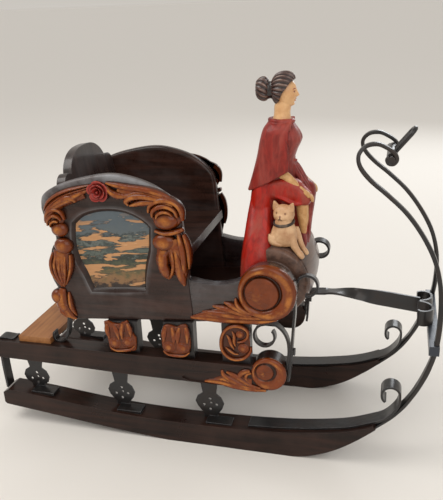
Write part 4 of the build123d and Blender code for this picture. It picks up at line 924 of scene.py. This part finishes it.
# Seated woman, body and dress: carved from one limewood block and painted thinly in red
# that has worn to dusky pink. She sits on the front log, skirt falling behind it.
def stack(rows, fine=90, round_=72, power=2.3):
    """Level rings up a column. rows give z, rear x, front x, half depth and the y of the middle; each ring
    is a squared ellipse of the given power."""
    run = smooth_row(rows, fine)
    c, s = squarish(way_round(round_), 2 / power)
    x = (run[:, 1:2] + run[:, 2:3]) / 2 + (run[:, 2:3] - run[:, 1:2]) / 2 * c
    return np.stack([x, run[:, 4:5] + run[:, 3:4] * s, run[:, 0:1] + 0 * c], -1)


def limb(rows, fine=50, round_=36, lean=(0.0, 1.0, 0.0), flat=2.0):
    """A tapering limb. rows give x, y, z, then half its width along lean and half its depth square to that
    and to the run; the ends are domed."""
    run = smooth_row(rows, fine)
    way = np.gradient(run[:, :3], axis=0)
    way /= np.linalg.norm(way, axis=1, keepdims=True) + 1e-9
    one = np.array(lean) - way * (way @ np.array(lean))[:, None]
    one /= np.linalg.norm(one, axis=1, keepdims=True) + 1e-9
    two = np.cross(way, one)
    t = np.linspace(0, 1, fine)[:, None, None]
    near_end = np.clip(np.abs(2 * t - 1) - 0.8, 0, 1) / 0.2
    close = np.clip(np.sqrt(np.clip(1 - near_end ** 2, 0.0, 1)), 0.12, 1)
    c, s = squarish(way_round(round_)[..., None], 2 / flat)
    wide, deep = run[:, 3, None, None], run[:, 4, None, None]
    return run[:, None, :3] + close * (one[:, None] * wide * c + two[:, None] * deep * s)


def fuse(piece, grid, rounds):
    """Joins a piece's overlapping shells into one skin on a grid of so many metres and softens it."""
    joined = piece.modifiers.new("joined", "REMESH")
    joined.mode, joined.voxel_size, joined.use_smooth_shade = "VOXEL", grid, True
    soft = piece.modifiers.new("softened", "SMOOTH")
    soft.factor, soft.iterations = 0.5, rounds


def paint(name, deep, body, worn, shine=0.36, patch=34.0, flow=(1.0, 1.0, 0.35), coat=0.35, high=0.62):
    """Thin old paint over carved wood: body colour with deeper strokes that follow the carving, clouds
    where it has worn, and painted shade in the hollows."""
    made, tree, skin, here = finish(name)
    stroke_at = mapped(tree, here, flow)
    stroke = grain(tree, stroke_at, 240.0, 5.0, 0.6, 0.8)
    cloud = grain(tree, stroke_at, patch, 5.0, 0.62, 0.5)
    fleck = grain(tree, here, 600.0, 3.0, 0.6)
    tone = mix(tree, spread(tree, stroke, 0.34, 0.62, 0.35, 1.0), deep, body)
    tone = mix(tree, spread(tree, cloud, 0.50, high, 0.0, 0.85), tone, worn)
    # Painted shade: the shut-in hollows darken towards the deep colour.
    tone = painted_shade_in_cuts(tree, tone, 0.006, (0.25, 0.85), 0.75, deep)
    soft, edge = rubbed_edge(tree, 0.0012, 0.80, 0.985)
    tone = mix(tree, times(tree, edge, spread(tree, fleck, 0.4, 0.6, 0.1, 0.6)), tone, worn)
    bumps = [(stroke, 0.4, 0.0007), (fleck, 0.2, 0.0002)]
    lay_on(tree, skin, tone, cloud, (shine, shine + 0.2), bumps, soft, Specular_IOR_Level=0.25,
           Coat_Weight=coat, Coat_Roughness=0.18)
    return made


column = stack([(131, 254, 266, 33, 0), (150, 255, 274, 36, 0), (170, 257.2, 281, 38.6, 0),
                (191, 259.6, 285, 39.6, 0), (200, 260.4, 287.5, 39.4, 0), (207.4, 261.2, 288, 37.4, 0),
                (215, 262, 288, 33.6, 0), (223.3, 262.6, 287.5, 28.8, 0), (237, 263.6, 288, 24, 0),
                (252, 265.2, 290, 21.5, 0), (262, 268, 292, 19, 0), (268, 272, 292, 15, 0)], 150, 120, 2.8)
a = way_round(120)
fall = np.clip((258 - column[..., 2]) / 90, 0, 1)
fold = fall * (1.0 * np.sin(7 * a + 0.6) + 0.6 * np.sin(13 * a + column[..., 2] * 0.03))
column[..., 0] += fold * np.cos(a)
column[..., 1] += fold * np.sin(a)
thigh = [(281, -11.5, 253, 9.4, 9.6), (290, -11.8, 254.8, 9.6, 10.2), (301, -12, 254.2, 9.6, 12.0),
         (308, -12, 250.3, 9.2, 11.6), (314, -12, 248.0, 8.6, 8.8), (319.5, -12, 246.0, 7.4, 6.0),
         (322.0, -12, 245.4, 5.0, 3.6)]
behind_cat = stack([(186, 276, 318, 10.5, 6.5), (215, 277, 318, 11.0, 6.5), (240, 279, 319, 12.0, 6.0),
                    (252, 280, 320, 12.0, 6.0)], 40, 60)
hems = [stack([(158, 259, 282, 13, 35 * s), (172, 259, 285.6, 14, 35 * s),
               (185, 259.5, 287.4, 14.4, 34.6 * s), (196, 260.3, 288, 14, 33.4 * s),
               (206, 261.3, 288.5, 12.6, 31 * s), (216, 262.3, 288, 11, 27 * s),
               (228, 263.4, 287, 8.6, 21.5 * s), (238, 264.6, 286, 6.6, 17 * s),
               (248, 266.4, 284, 4.4, 13 * s), (257, 270, 282, 2.0, 9 * s)], 80, 60, 2.4) for s in (-1, 1)]
dress_shells = [column, behind_cat, limb(thigh, 60, 44, flat=2.5)] + hems
far_thigh = [(278, 10, 253, 9.8, 9.6), (290, 10, 256, 9.8, 10.2), (301, 10, 256, 9.6, 11.4),
             (310, 10, 251, 9.0, 9.4), (317, 10, 247.6, 7.6, 7.0)]
dress_shells.append(limb(far_thigh, 50, 40))
lap = [(282, 0, 252, 9.0, 8.6), (296, 0, 254, 9.0, 9.6), (306, 0, 250, 8.6, 9.0), (314, 0, 246, 7.0, 6.6)]
dress_shells.append(limb(lap, 50, 40))
near_fold = [(288, -19.0, 250.4, 1.6, 1.6), (297, -20.8, 247.4, 2.0, 1.8), (307, -20.6, 243.0, 2.0, 1.8),
             (315, -18.6, 243.4, 1.4, 1.6)]
dress_shells.append(limb(near_fold, 40, 24))
red_paint = paint("red_dress_paint", rgb(104, 16, 9), rgb(168, 28, 12), rgb(150, 66, 52), 0.32, 42.0,
                  (1.0, 1.0, 0.3), 0.25, 0.64)
gown = skin_over("red_skirt", dress_shells, red_paint, ["lady_skirt"], stance="figure")
fuse(gown, 0.0007, 3)


# The bodice and the far side of the skirt, in a dull pink red: a fitted front with a
# button at the waist, and long folds that run from the waist over the far knee.
bodice = stack([(262, 268, 306, 17, 0), (270, 271, 305.6, 17, 0), (277, 273, 304.8, 16.4, 0),
                (281, 274, 304.6, 16.2, 0), (288.3, 275, 307.2, 16.8, 0), (294.6, 276.5, 310.6, 17.8, 0),
                (299.7, 278, 311.9, 18, 0), (305.8, 280, 309.2, 16.4, 0), (311.8, 282, 304.9, 12.6, 0),
                (316.4, 284, 302.2, 8.0, 0)], 80, 90, 2.2)
dent = bell(bodice[..., 1], 0, 4.6) * bell(bodice[..., 2], 298, 8) * (bodice[..., 0] > 298)
bodice[..., 0] -= 1.8 * dent
waist_button = [(304.6, 0, 279.0, 1.3, 1.3), (306.2, 0, 279.0, 1.3, 1.3), (307.0, 0, 279.0, 0.9, 0.9)]
bodice_shells = [bodice, limb(waist_button, 16, 20)]
for y, out in ((-3.5, 0.0), (0.5, 1.0), (4.5, 1.6), (9.0, 1.2)):
    pleat = [(302.0, y * 0.8, 277, 2.0, 2.4), (305.4 + out, y, 270.5, 2.6, 2.6),
             (309.6 + out, y + 0.6, 262.5, 2.8, 2.8), (313.6 + out, y + 1.2, 255.2, 3.0, 3.0),
             (317.0 + out * 0.8, y + 1.6, 249.4, 3.0, 2.6)]
    bodice_shells.append(limb(pleat, 50, 24))
drape = [(310, 8, 256, 6.0, 5.0), (316, 9, 252, 7.6, 6.0), (319.0, 9, 246.5, 8.0, 4.6),
         (318.6, 9, 238, 8.0, 3.4), (317.0, 9, 226, 7.6, 3.0), (315.2, 9, 210, 6.6, 2.6),
         (314.8, 9, 192, 5.4, 2.2)]
bodice_shells += [limb(drape, 80, 40)]
for y in (3.6, 9.4, 15.0):
    crease = [(318.6, y, 250, 1.8, 1.6), (321.0, y, 243, 1.7, 1.5), (320.0, y, 232, 1.6, 1.4),
              (318.2, y * 0.97, 218, 1.5, 1.3), (316.6, y * 0.94, 196, 1.2, 1.1)]
    bodice_shells.append(limb(crease, 60, 24))
pink_paint = paint("dusky_red_paint", rgb(74, 20, 18), rgb(140, 46, 38), rgb(170, 92, 82), 0.40, 30.0,
                   (1.0, 1.0, 0.4), 0.25, 0.66)
waist = skin_over("bodice_and_far_drape", bodice_shells, pink_paint, None, stance="figure")
fuse(waist, 0.0007, 2)


# Cape: a short thick cape from a standing collar to a slanting hem that hangs low at the
# back, open down the front.
def wrap(count=120, fall=90, thick=2.0):
    """The cape: level with the shoulders at the collar and tilting to the hem. At each way round it, from
    one front edge past the back to the other, a closed loop runs down the outside, round the hem and up the
    inside."""
    rows = smooth_row([(281.6, 317.0, 303.6, 317.0, 8.6), (281.0, 315.0, 303.4, 315.0, 9.6),
                       (279.2, 312.6, 301.8, 312.4, 13.6), (276.0, 307.6, 301.2, 306.8, 17.6),
                       (273.2, 297.7, 300.6, 299.6, 19.6), (270.6, 284.6, 300.6, 290.6, 20.8),
                       (267.2, 271.6, 301.0, 283.2, 21.6), (264.0, 260.6, 301.6, 277.6, 22.2),
                       (261.1, 251.6, 302.2, 273.4, 22.6)], fall)
    w = np.linspace(-1.0, 1.0, count)[:, None]
    out = []
    for inset in (0.0, 1.0):
        rear_x, rear_z, front_x, front_z, half = [rows[None, :, k] for k in range(5)]
        rear_x, half = rear_x + inset * thick, half - inset * thick
        depth = front_x - rear_x
        bend = np.radians(90.0) * w
        flat = np.abs(np.sin(bend)) ** 0.62 * np.sign(bend)
        back = np.clip(np.cos(bend), 0, 1) ** 0.55
        x = front_x - depth * back
        y = half * flat
        share = (x - rear_x) / depth
        z = rear_z + (front_z - rear_z) * share ** 1.1
        wave = 0.35 * np.sin(w * 9.0 + 0.6) * np.linspace(0, 1, fall)[None, :] ** 1.5 * (1 - inset)
        out.append(np.stack([x - wave * back, y * (1 + 0.008 * wave), z], -1))
    outer, inner = out
    hem = (outer[:, -1] + inner[:, -1]) / 2
    hem[:, 2] -= 0.5
    top = (outer[:, 0] + inner[:, 0]) / 2
    top[:, 2] += 0.6
    return np.concatenate([top[:, None], outer, hem[:, None], inner[:, ::-1]], 1)


def hoop(middle, half_x, half_y, out, up, tip_x, tip_y=0.0, fine=81, round_=16):
    """A band round an ellipse of half_x by half_y. Its section is an ellipse of out by up; its front rises
    by tip_x and its left by tip_y."""
    a, t = np.linspace(0, 2 * np.pi, fine)[:, None], way_round(round_)
    x = middle[0] + (half_x + out * np.cos(t)) * np.cos(a)
    y = middle[1] + (half_y + out * np.cos(t)) * np.sin(a)
    return np.stack([x, y, middle[2] + up * np.sin(t) + tip_x * np.cos(a) + tip_y * np.sin(a)], -1)


collar = hoop((292.6, 0.0, 315.4), 10.6, 9.4, 1.9, 1.8, -0.636)
neck_plug = stack([(309, 282.6, 303.0, 9.4, 0), (314.4, 281.8, 303.8, 9.4, 0),
                   (317.2, 282.2, 303.2, 8.8, 0)], 20, 60)
cape_paint = paint("cape_paint", rgb(88, 20, 16), rgb(140, 38, 28), rgb(160, 78, 66), 0.42, 26.0,
                   (1.0, 1.0, 0.35), 0.25, 0.68)
mantle = skin_over("cape_with_collar", [wrap(), collar, neck_plug], cape_paint, ["lady_cape"],
                   stance="figure")
fuse(mantle, 0.0006, 2)


# Hands, forearms, legs: bare limewood toned to skin, hands laid on the knees; dark red
# slippers that point down.
flesh = paint("skin_paint", rgb(176, 124, 72), rgb(206, 158, 104), rgb(222, 180, 128), 0.42, 50.0,
              (1.0, 1.0, 1.0), 0.25)
arm_shells = []
for s, up in ((-1, 0.0), (1, 1.5)):
    forearm = [(292.0, s * 15.6, 269.6 + up, 3.4, 4.2), (298.0, s * 16.0, 268.2 + up, 3.6, 4.3),
               (303.6, s * 16.2, 263.2 + up, 3.7, 4.1), (309.0, s * 16.1, 258.2 + up, 3.6, 3.7),
               (314.0, s * 15.7, 254.4 + up, 3.3, 2.9), (318.0, s * 15.2, 251.8 + up, 3.9, 2.4),
               (321.0, s * 14.8, 248.8 + up, 3.6, 2.0)]
    arm_shells.append(limb(forearm, 70, 36))
    for k in range(4):
        y, reach = s * (17.4 - 1.8 * k), (0.0, 1.0, 1.2, 0.4)[k]
        finger = [(317.6, y * 0.985, 252.6 + up, 1.1, 1.3), (320.8, y, 250.0 + up, 1.15, 1.3),
                  (322.6 + reach * 0.2, y, 247.4 + up, 1.1, 1.2),
                  (323.0 + reach * 0.2, y, 244.8 + up - reach, 0.9, 1.0)]
        arm_shells.append(limb(finger, 30, 18))
    thumb = [(315.6, s * 18.2, 253.8 + up, 1.2, 1.3), (318.6, s * 19.2, 251.2 + up, 1.2, 1.2),
             (320.6, s * 19.2, 248.8 + up, 0.9, 1.0)]
    arm_shells.append(limb(thumb, 24, 16))
arms = skin_over("forearms_and_hands", arm_shells, flesh, ["lady_arms"], stance="figure")
fuse(arms, 0.0004, 2)
shoe_paint = paint("slipper_paint", rgb(60, 18, 16), rgb(118, 36, 34), rgb(150, 76, 70), 0.4, 80.0)
shins, slippers = [], []
for y in (-12.0, 4.0):
    shin = [(312.4, y, 244, 4.8, 5.6), (313.4, y, 236, 4.6, 5.4), (314.0, y, 227, 4.1, 4.6),
            (314.4, y, 219, 3.2, 3.6), (314.8, y, 211.5, 2.4, 2.6)]
    shins.append(limb(shin, 50, 32))
    slipper = [(313.6, y, 214.6, 2.4, 2.6), (314.6, y, 210.0, 2.7, 2.9), (315.6, y, 204.6, 3.1, 2.9),
               (315.4, y, 199.4, 2.8, 2.2), (314.4, y, 194.6, 1.5, 1.2)]
    slippers.append(limb(slipper, 40, 30))
skin_over("shins", shins, flesh, None, stance="figure")
skin_over("slippers", slippers, shoe_paint, ["lady_legs"], stance="figure")


# Head and neck: carved skull with plain even features, thinly painted: dark brows and
# eyes, dull red lips.
HEAD_X, HEAD_Z = 296.2, 339.4
HEAD_LEAN = np.radians(3.0)
EYE_ASIDE = 3.3


def head_shape(fine=150, round_=190):
    """Rings up the skull, an egg with its wider end up; the front carries the features as bell curves in
    height and width: brow, sockets, lids, nose, lips, chin and cheeks. Gives the shell and its paint marks,
    0 dark, about 0.6 lips, 1 skin."""
    u = np.linspace(0.02, np.pi - 0.02, fine)[:, None]
    v = way_round(round_)
    up = -np.cos(u) + 0 * v
    jaw = 1.0 - 0.24 * np.clip(-up - 0.15, 0, 1) ** 1.2
    x = 10.0 * np.sin(u) * np.cos(v) * (1 - 0.06 * np.clip(-up, 0, 1))
    y = 8.7 * np.sin(u) * np.sin(v) * jaw
    z = 13.6 * up
    front = np.clip(np.cos(v) * np.sin(u) * 1.6, 0, 1)
    bells = [(0.5, 0, 6.5, 5.0, 3.0), (0.55, 3.3, 3.0, 2.4, 0.8), (-1.5, 3.3, 1.0, 1.9, 1.3),
             (0.95, 3.3, 0.9, 1.3, 0.75), (0.7, 0, 1.4, 1.0, 1.6), (1.5, 0, -0.8, 0.95, 1.5),
             (2.1, 0, -2.6, 1.15, 1.2), (0.8, 1.3, -3.0, 0.7, 0.7), (0.8, 0, -5.6, 2.4, 0.55),
             (-0.6, 0, -6.3, 2.6, 0.22), (0.75, 0, -7.1, 2.0, 0.6), (-0.4, 0, -8.6, 2.4, 0.6),
             (1.5, 0, -10.4, 2.6, 1.5), (0.6, 4.9, -2.6, 2.0, 2.4)]
    for amount, side, high, wide, tall in bells:
        x = x + amount * bell(np.abs(y), side, wide) * bell(z, high, tall) * front
    aside = np.abs(y) - EYE_ASIDE
    lid = bell(aside, 0, 1.5, 4) * bell(z + 0.12 * aside ** 2, 1.55, 0.24)
    iris = bell(np.hypot(aside, z - 0.9), 0, 0.62, 4)
    arch = bell(aside, 0.2, 2.1, 4) * bell(z + 0.10 * aside ** 2, 3.7, 0.28)
    dark = np.clip(np.maximum(np.maximum(lid, iris), arch * 0.9), 0, 1) * (front > 0.2)
    lips = bell(y, 0, 2.3, 4) * bell(z, -6.3, 1.25, 4) * (front > 0.5)
    mark = 1.0 - np.clip(dark + 0.42 * lips * (dark < 0.3), 0, 1)
    x, z = x * np.cos(HEAD_LEAN) - z * np.sin(HEAD_LEAN), x * np.sin(HEAD_LEAN) + z * np.cos(HEAD_LEAN)
    return np.stack([HEAD_X + x, y, HEAD_Z + z], -1), mark


def face_finish(name):
    """The skin paint with the marks carried on the mesh laid over it: dark for brows and eyes, dull red for
    lips."""
    made, tree, skin, here = finish(name)
    cloud = grain(tree, here, 90.0, 4.0, 0.6)
    mark = mesh_mark(tree)
    tone = mix(tree, spread(tree, cloud, 0.35, 0.65, 0.0, 1.0), rgb(196, 142, 92), rgb(222, 176, 124))
    tone = mix(tree, times(tree, spread(tree, mark, 0.62, 0.92, 1.0, 0.0), 0.8), tone, rgb(168, 66, 50))
    tone = mix(tree, spread(tree, mark, 0.15, 0.5, 1.0, 0.0), tone, rgb(44, 30, 26))
    # Painted shade: the shut-in parts of the face darken to a warm brown.
    tone = painted_shade_in_cuts(tree, tone, 0.003, (0.3, 0.9), 0.5, rgb(120, 70, 44))
    lay_on(tree, skin, tone, cloud, (0.36, 0.5), [(cloud, 0.25, 0.0004)], Coat_Weight=0.3)
    return made


skull, marks = head_shape()
throat_rows = [(312, 282.6, 303.0, 9.6, 0), (315.5, 283.8, 302.0, 8.8, 0), (319, 285.4, 300.8, 7.6, 0),
               (323, 285.9, 300.6, 7.0, 0), (328, 286.2, 301.4, 7.0, 0), (334, 288.0, 302.0, 6.4, 0)]
throat = stack(throat_rows, 50, 56, 2.1)
skin_over("head_and_neck", [skull, throat], face_finish("face_paint"), ["lady_head"],
          stance="figure", crest=[marks, np.ones(throat.shape[:2])])


# Hair: combed back in thick carved strands from the brow and nape to a knot, then wound
# into a tall bun; dark brown, with painted shade between the strands and painted highlights on their backs.
HAIR_X, HAIR_Z = 294.6, 342.6
BUN_X, BUN_Z = 275.8, 343.0


def comb(fine=80, round_=320, strands=22):
    """The cap of hair: part of an egg round a level axis, from its rear pole out to the hairline, then back
    inside. Strands are rounded ridges that run out from the pole. Gives the shell and its ridge height."""
    v = way_round(round_)
    above, below = np.clip(np.sin(v), 0, 1), np.clip(-np.sin(v), 0, 1)
    edge = np.radians(100.0 + 46.0 * above ** 0.9 - 38.0 * below ** 0.8)
    s = np.linspace(0.03, 1.0, fine)[:, None]
    turn = s * edge
    ridge = np.abs(np.cos(v * strands / 2 + 0.7 * np.sin(turn * 1.6))) ** 0.7
    lift = np.sin(np.clip(turn * 1.4, 0, np.pi / 2)) * (1.0 - np.clip((s - 0.93) / 0.07, 0, 1) ** 2 * 0.8)
    shells = []
    for r, keep in ((1.0, 1.0), (0.86, 0.0)):
        peak = 0.10 * bell(turn, 2.25, 0.42) * above ** 2
        grow = r * (1.0 + keep * (0.105 * (ridge - 0.55) * lift + peak))
        x = HAIR_X - 12.0 * grow * np.cos(turn)
        y = 10.2 * grow * np.sin(turn) * np.cos(v)
        z = HAIR_Z + 15.2 * grow * np.sin(turn) * np.sin(v)
        shells.append(np.stack([x, y, z], -1))
    high = np.concatenate([ridge * np.ones_like(turn), np.zeros((fine, round_))])
    return np.concatenate([shells[0], shells[1][::-1]]), high


def wound_bun(fine=70, round_=180, strands=12):
    """The bun: an upright egg with its neck to the head, strands wound over it in a slow spiral."""
    u = np.linspace(0.03, np.pi - 0.03, fine)[:, None]
    v = way_round(round_)
    ridge = np.abs(np.cos(v * strands / 2 + 1.9 * u)) ** 0.7
    grow = 1.0 + 0.13 * (ridge - 0.55) * np.sin(u)
    dimple = 1.7 * bell(u, np.pi, 0.5)
    x = BUN_X + (6.9 * np.cos(u) - 0.9 * np.cos(2 * u)) * grow + dimple + 0 * v
    y = 8.0 * np.sin(u) ** 0.8 * np.cos(v) * grow
    z = BUN_Z + 10.4 * np.sin(u) ** 0.8 * np.sin(v) * grow
    return np.stack([x, y, z], -1), ridge * np.ones_like(u)


def hair_finish(name):
    """Dark brown paint, with painted near-black shade between the strands and a painted grey-brown
    highlight along their backs.
    """
    made, tree, skin, here = finish(name)
    cloud = grain(tree, here, 120.0, 4.0, 0.6)
    high = mesh_mark(tree)
    # Painted shade: near black where the strands' height is low, between them.
    tone = mix(tree, spread(tree, high, 0.35, 0.75, 0.0, 1.0), rgb(26, 14, 12), rgb(66, 40, 34))
    # Painted highlight: grey brown along the strand backs.
    painted_strand_highlight = times(tree, spread(tree, high, 0.90, 1.0, 0.0, 0.8), spread(tree, cloud, 0.4, 0.62, 0.0, 0.9))
    tone = mix(tree, painted_strand_highlight, tone, rgb(150, 122, 106))
    lay_on(tree, skin, tone, cloud, (0.26, 0.42), [(cloud, 0.3, 0.0005)], Coat_Weight=0.5,
           Coat_Roughness=0.14)
    return made


cap, cap_high = comb()
bun, bun_high = wound_bun()
knot = limb([(279.5, 0, 342, 6.2, 8.6), (282.5, 0, 342, 5.6, 7.6), (285.5, 0, 342, 6.0, 8.6)], 20, 60)
skin_over("combed_hair_and_bun", [cap, bun, knot], hair_finish("hair_paint"), ["lady_hair"],
          stance="figure", crest=[cap_high, bun_high, np.full(knot.shape[:2], 0.2)])


# Cat: sits on the log against the skirt, forelegs stretched down the front, head turned
# to the side; bare pale wood with a dark collar and a marked nose and mouth.
CAT_Y = -29.0
cat_shells = [
    # trunk, near and far foreleg, haunch, near and far paw
    stack([(203.5, 286.6, 306.0, 7.0, CAT_Y), (207.0, 284.6, 309.0, 8.6, CAT_Y),
           (212.5, 284.8, 310.6, 9.4, CAT_Y), (218.5, 286.8, 309.4, 9.2, CAT_Y),
           (224.0, 289.0, 307.2, 8.6, CAT_Y), (229.0, 290.6, 305.6, 7.8, CAT_Y)], 60, 60, 2.3),
    limb([(303.0, CAT_Y - 4.0, 219.6, 4.4, 5.0), (305.6, CAT_Y - 4.4, 212.0, 3.7, 4.4),
          (308.2, CAT_Y - 4.9, 205.0, 3.2, 3.7), (311.6, CAT_Y - 5.4, 199.6, 3.0, 3.1),
          (314.4, CAT_Y - 5.6, 196.0, 2.8, 2.6)], 60, 34),
    limb([(307.0, CAT_Y + 4.4, 220.0, 3.6, 4.0), (310.0, CAT_Y + 4.4, 212.6, 3.2, 3.4),
          (312.4, CAT_Y + 4.2, 205.6, 2.8, 2.9), (315.2, CAT_Y + 4.0, 199.4, 2.6, 2.6),
          (317.6, CAT_Y + 4.0, 195.6, 2.4, 2.2)], 60, 34),
    limb([(289.6, CAT_Y - 4.6, 214.0, 4.0, 5.4), (288.4, CAT_Y - 5.2, 209.4, 4.4, 4.8),
          (292.0, CAT_Y - 5.6, 206.6, 4.0, 3.2), (297.6, CAT_Y - 5.8, 205.8, 3.0, 2.6)], 44, 34),
    limb([(312.6, CAT_Y - 5.8, 198.8, 3.8, 3.0), (315.0, CAT_Y - 6.2, 195.8, 4.0, 2.8),
          (316.6, CAT_Y - 6.2, 193.4, 3.0, 2.0)], 30, 30),
    limb([(316.0, CAT_Y + 4.0, 198.4, 3.0, 2.6), (318.0, CAT_Y + 4.0, 195.6, 3.2, 2.4),
          (319.4, CAT_Y + 4.0, 193.4, 2.4, 1.8)], 30, 30),
]
cat_look = np.array([-0.27, -0.96, -0.06])
cat_look /= np.linalg.norm(cat_look)
cat_side = np.cross(cat_look, [0, 0, 1.0])
cat_side /= np.linalg.norm(cat_side)
cat_up = np.cross(cat_side, cat_look)
cat_mid = np.array([298.0, CAT_Y, 233.6])


def cat_spot(forward, aside, up):
    """A point given from the middle of the cat's head: forward along its look, aside to its left, up."""
    out = np.multiply.outer
    return cat_mid + out(forward, cat_look) - out(aside, cat_side) + out(up, cat_up)


CAT_FEATURES = [
    # stand-off, way aside, way up, half width, half height
    # muzzle, its two pads, nose, eye sockets, eyes, mouth line, split of the lip, jowls
    (1.7, 0, -1.8, 3.4, 3.2), (0.7, 1.7, -2.4, 1.5, 1.3), (0.5, 0, 0.4, 1.0, 0.8),
    (-0.7, 4.4, 2.6, 1.9, 1.2), (0.4, 4.4, 2.6, 1.0, 0.7), (-0.5, 0, -5.0, 3.0, 0.5),
    (-0.5, 0, -1.6, 0.4, 1.6), (0.5, 6.4, -2.0, 2.4, 2.4),
]
u, v = np.linspace(0.03, np.pi - 0.03, 60)[:, None], way_round(90)
c, w = squarish(v, 0.8)
forward, aside, up = 7.6 * np.sin(u) ** 0.8 * c, 9.8 * np.sin(u) ** 0.8 * w, -8.8 * np.cos(u) + 0 * v
front = np.clip(np.cos(v) * np.sin(u) * 1.5, 0, 1)
for amount, side, high, wide, tall in CAT_FEATURES:
    forward = forward + amount * bell(np.abs(aside), side, wide) * bell(up, high, tall) * front
cat_shells.append(cat_spot(forward, aside, up))
for s in (-1, 1):
    base, tip = cat_spot(0.6, s * 6.6, 4.2), cat_spot(0.2, s * 9.6, 12.0)
    ear = [(*base, 4.4, 2.6), (*(base * 0.5 + tip * 0.5), 2.9, 1.7), (*tip, 0.7, 0.6)]
    cat_shells.append(limb(ear, 24, 24, lean=tuple(cat_side)))


def cat_finish(name):
    """Pale wood with painted brown shade in the hollows; the nose, mouth and eyes are small dark spots
    placed by their distance from fixed points on the head."""
    made, tree, skin, here = finish(name)
    cloud = grain(tree, here, 80.0, 5.0, 0.6)
    fleck = grain(tree, here, 500.0, 3.0, 0.6)
    tone = mix(tree, spread(tree, cloud, 0.35, 0.66, 0.0, 1.0), rgb(176, 128, 88), rgb(216, 176, 134))
    # Painted shade: brown where the skin is shut in.
    tone = painted_shade_in_cuts(tree, tone, 0.004, (0.3, 0.9), 0.7, rgb(92, 58, 40))
    nose, dark, brown = rgb(128, 74, 62), rgb(52, 28, 26), rgb(112, 70, 46)
    for f, s, h, size, colour in ((9.9, 0.0, 0.6, 0.0015, nose), (9.7, 0.0, -0.8, 0.0009, dark),
                                  (9.6, 0.0, -2.0, 0.0009, dark), (9.4, 1.0, -3.2, 0.0010, dark),
                                  (9.4, -1.0, -3.2, 0.0010, dark), (9.0, 2.0, -4.2, 0.0009, dark),
                                  (9.0, -2.0, -4.2, 0.0009, dark), (7.4, 4.6, 3.0, 0.0013, brown),
                                  (7.4, -4.6, 3.0, 0.0013, brown)):
        spot = place(cat_spot(f, s, h), "level")
        feeds = {0: here, 1: tuple(float(k) for k in spot)}
        far = add(tree, "VectorMath", feeds, operation="DISTANCE").outputs["Value"]
        tone = mix(tree, spread(tree, far, size * 0.8, size * 1.3, 0.85, 0.0), tone, colour)
    bumps = [(cloud, 0.4, 0.0006), (fleck, 0.2, 0.0002)]
    lay_on(tree, skin, tone, cloud, (0.42, 0.6), bumps, Coat_Weight=0.2)
    return made


cat = skin_over("sitting_cat", cat_shells, cat_finish("pale_cat_wood"), ["cat"], stance="level")
fuse(cat, 0.0004, 4)
band = hoop((298.0, CAT_Y, 225.8), 8.9, 8.4, 1.3, 1.5, 0.89, 1.6, 73, 14)
band_paint = paint("collar_paint", rgb(26, 22, 20), rgb(66, 54, 48), rgb(104, 88, 74), 0.5, 90.0)
skin_over("cat_collar", [band], band_paint, None, stance="level")
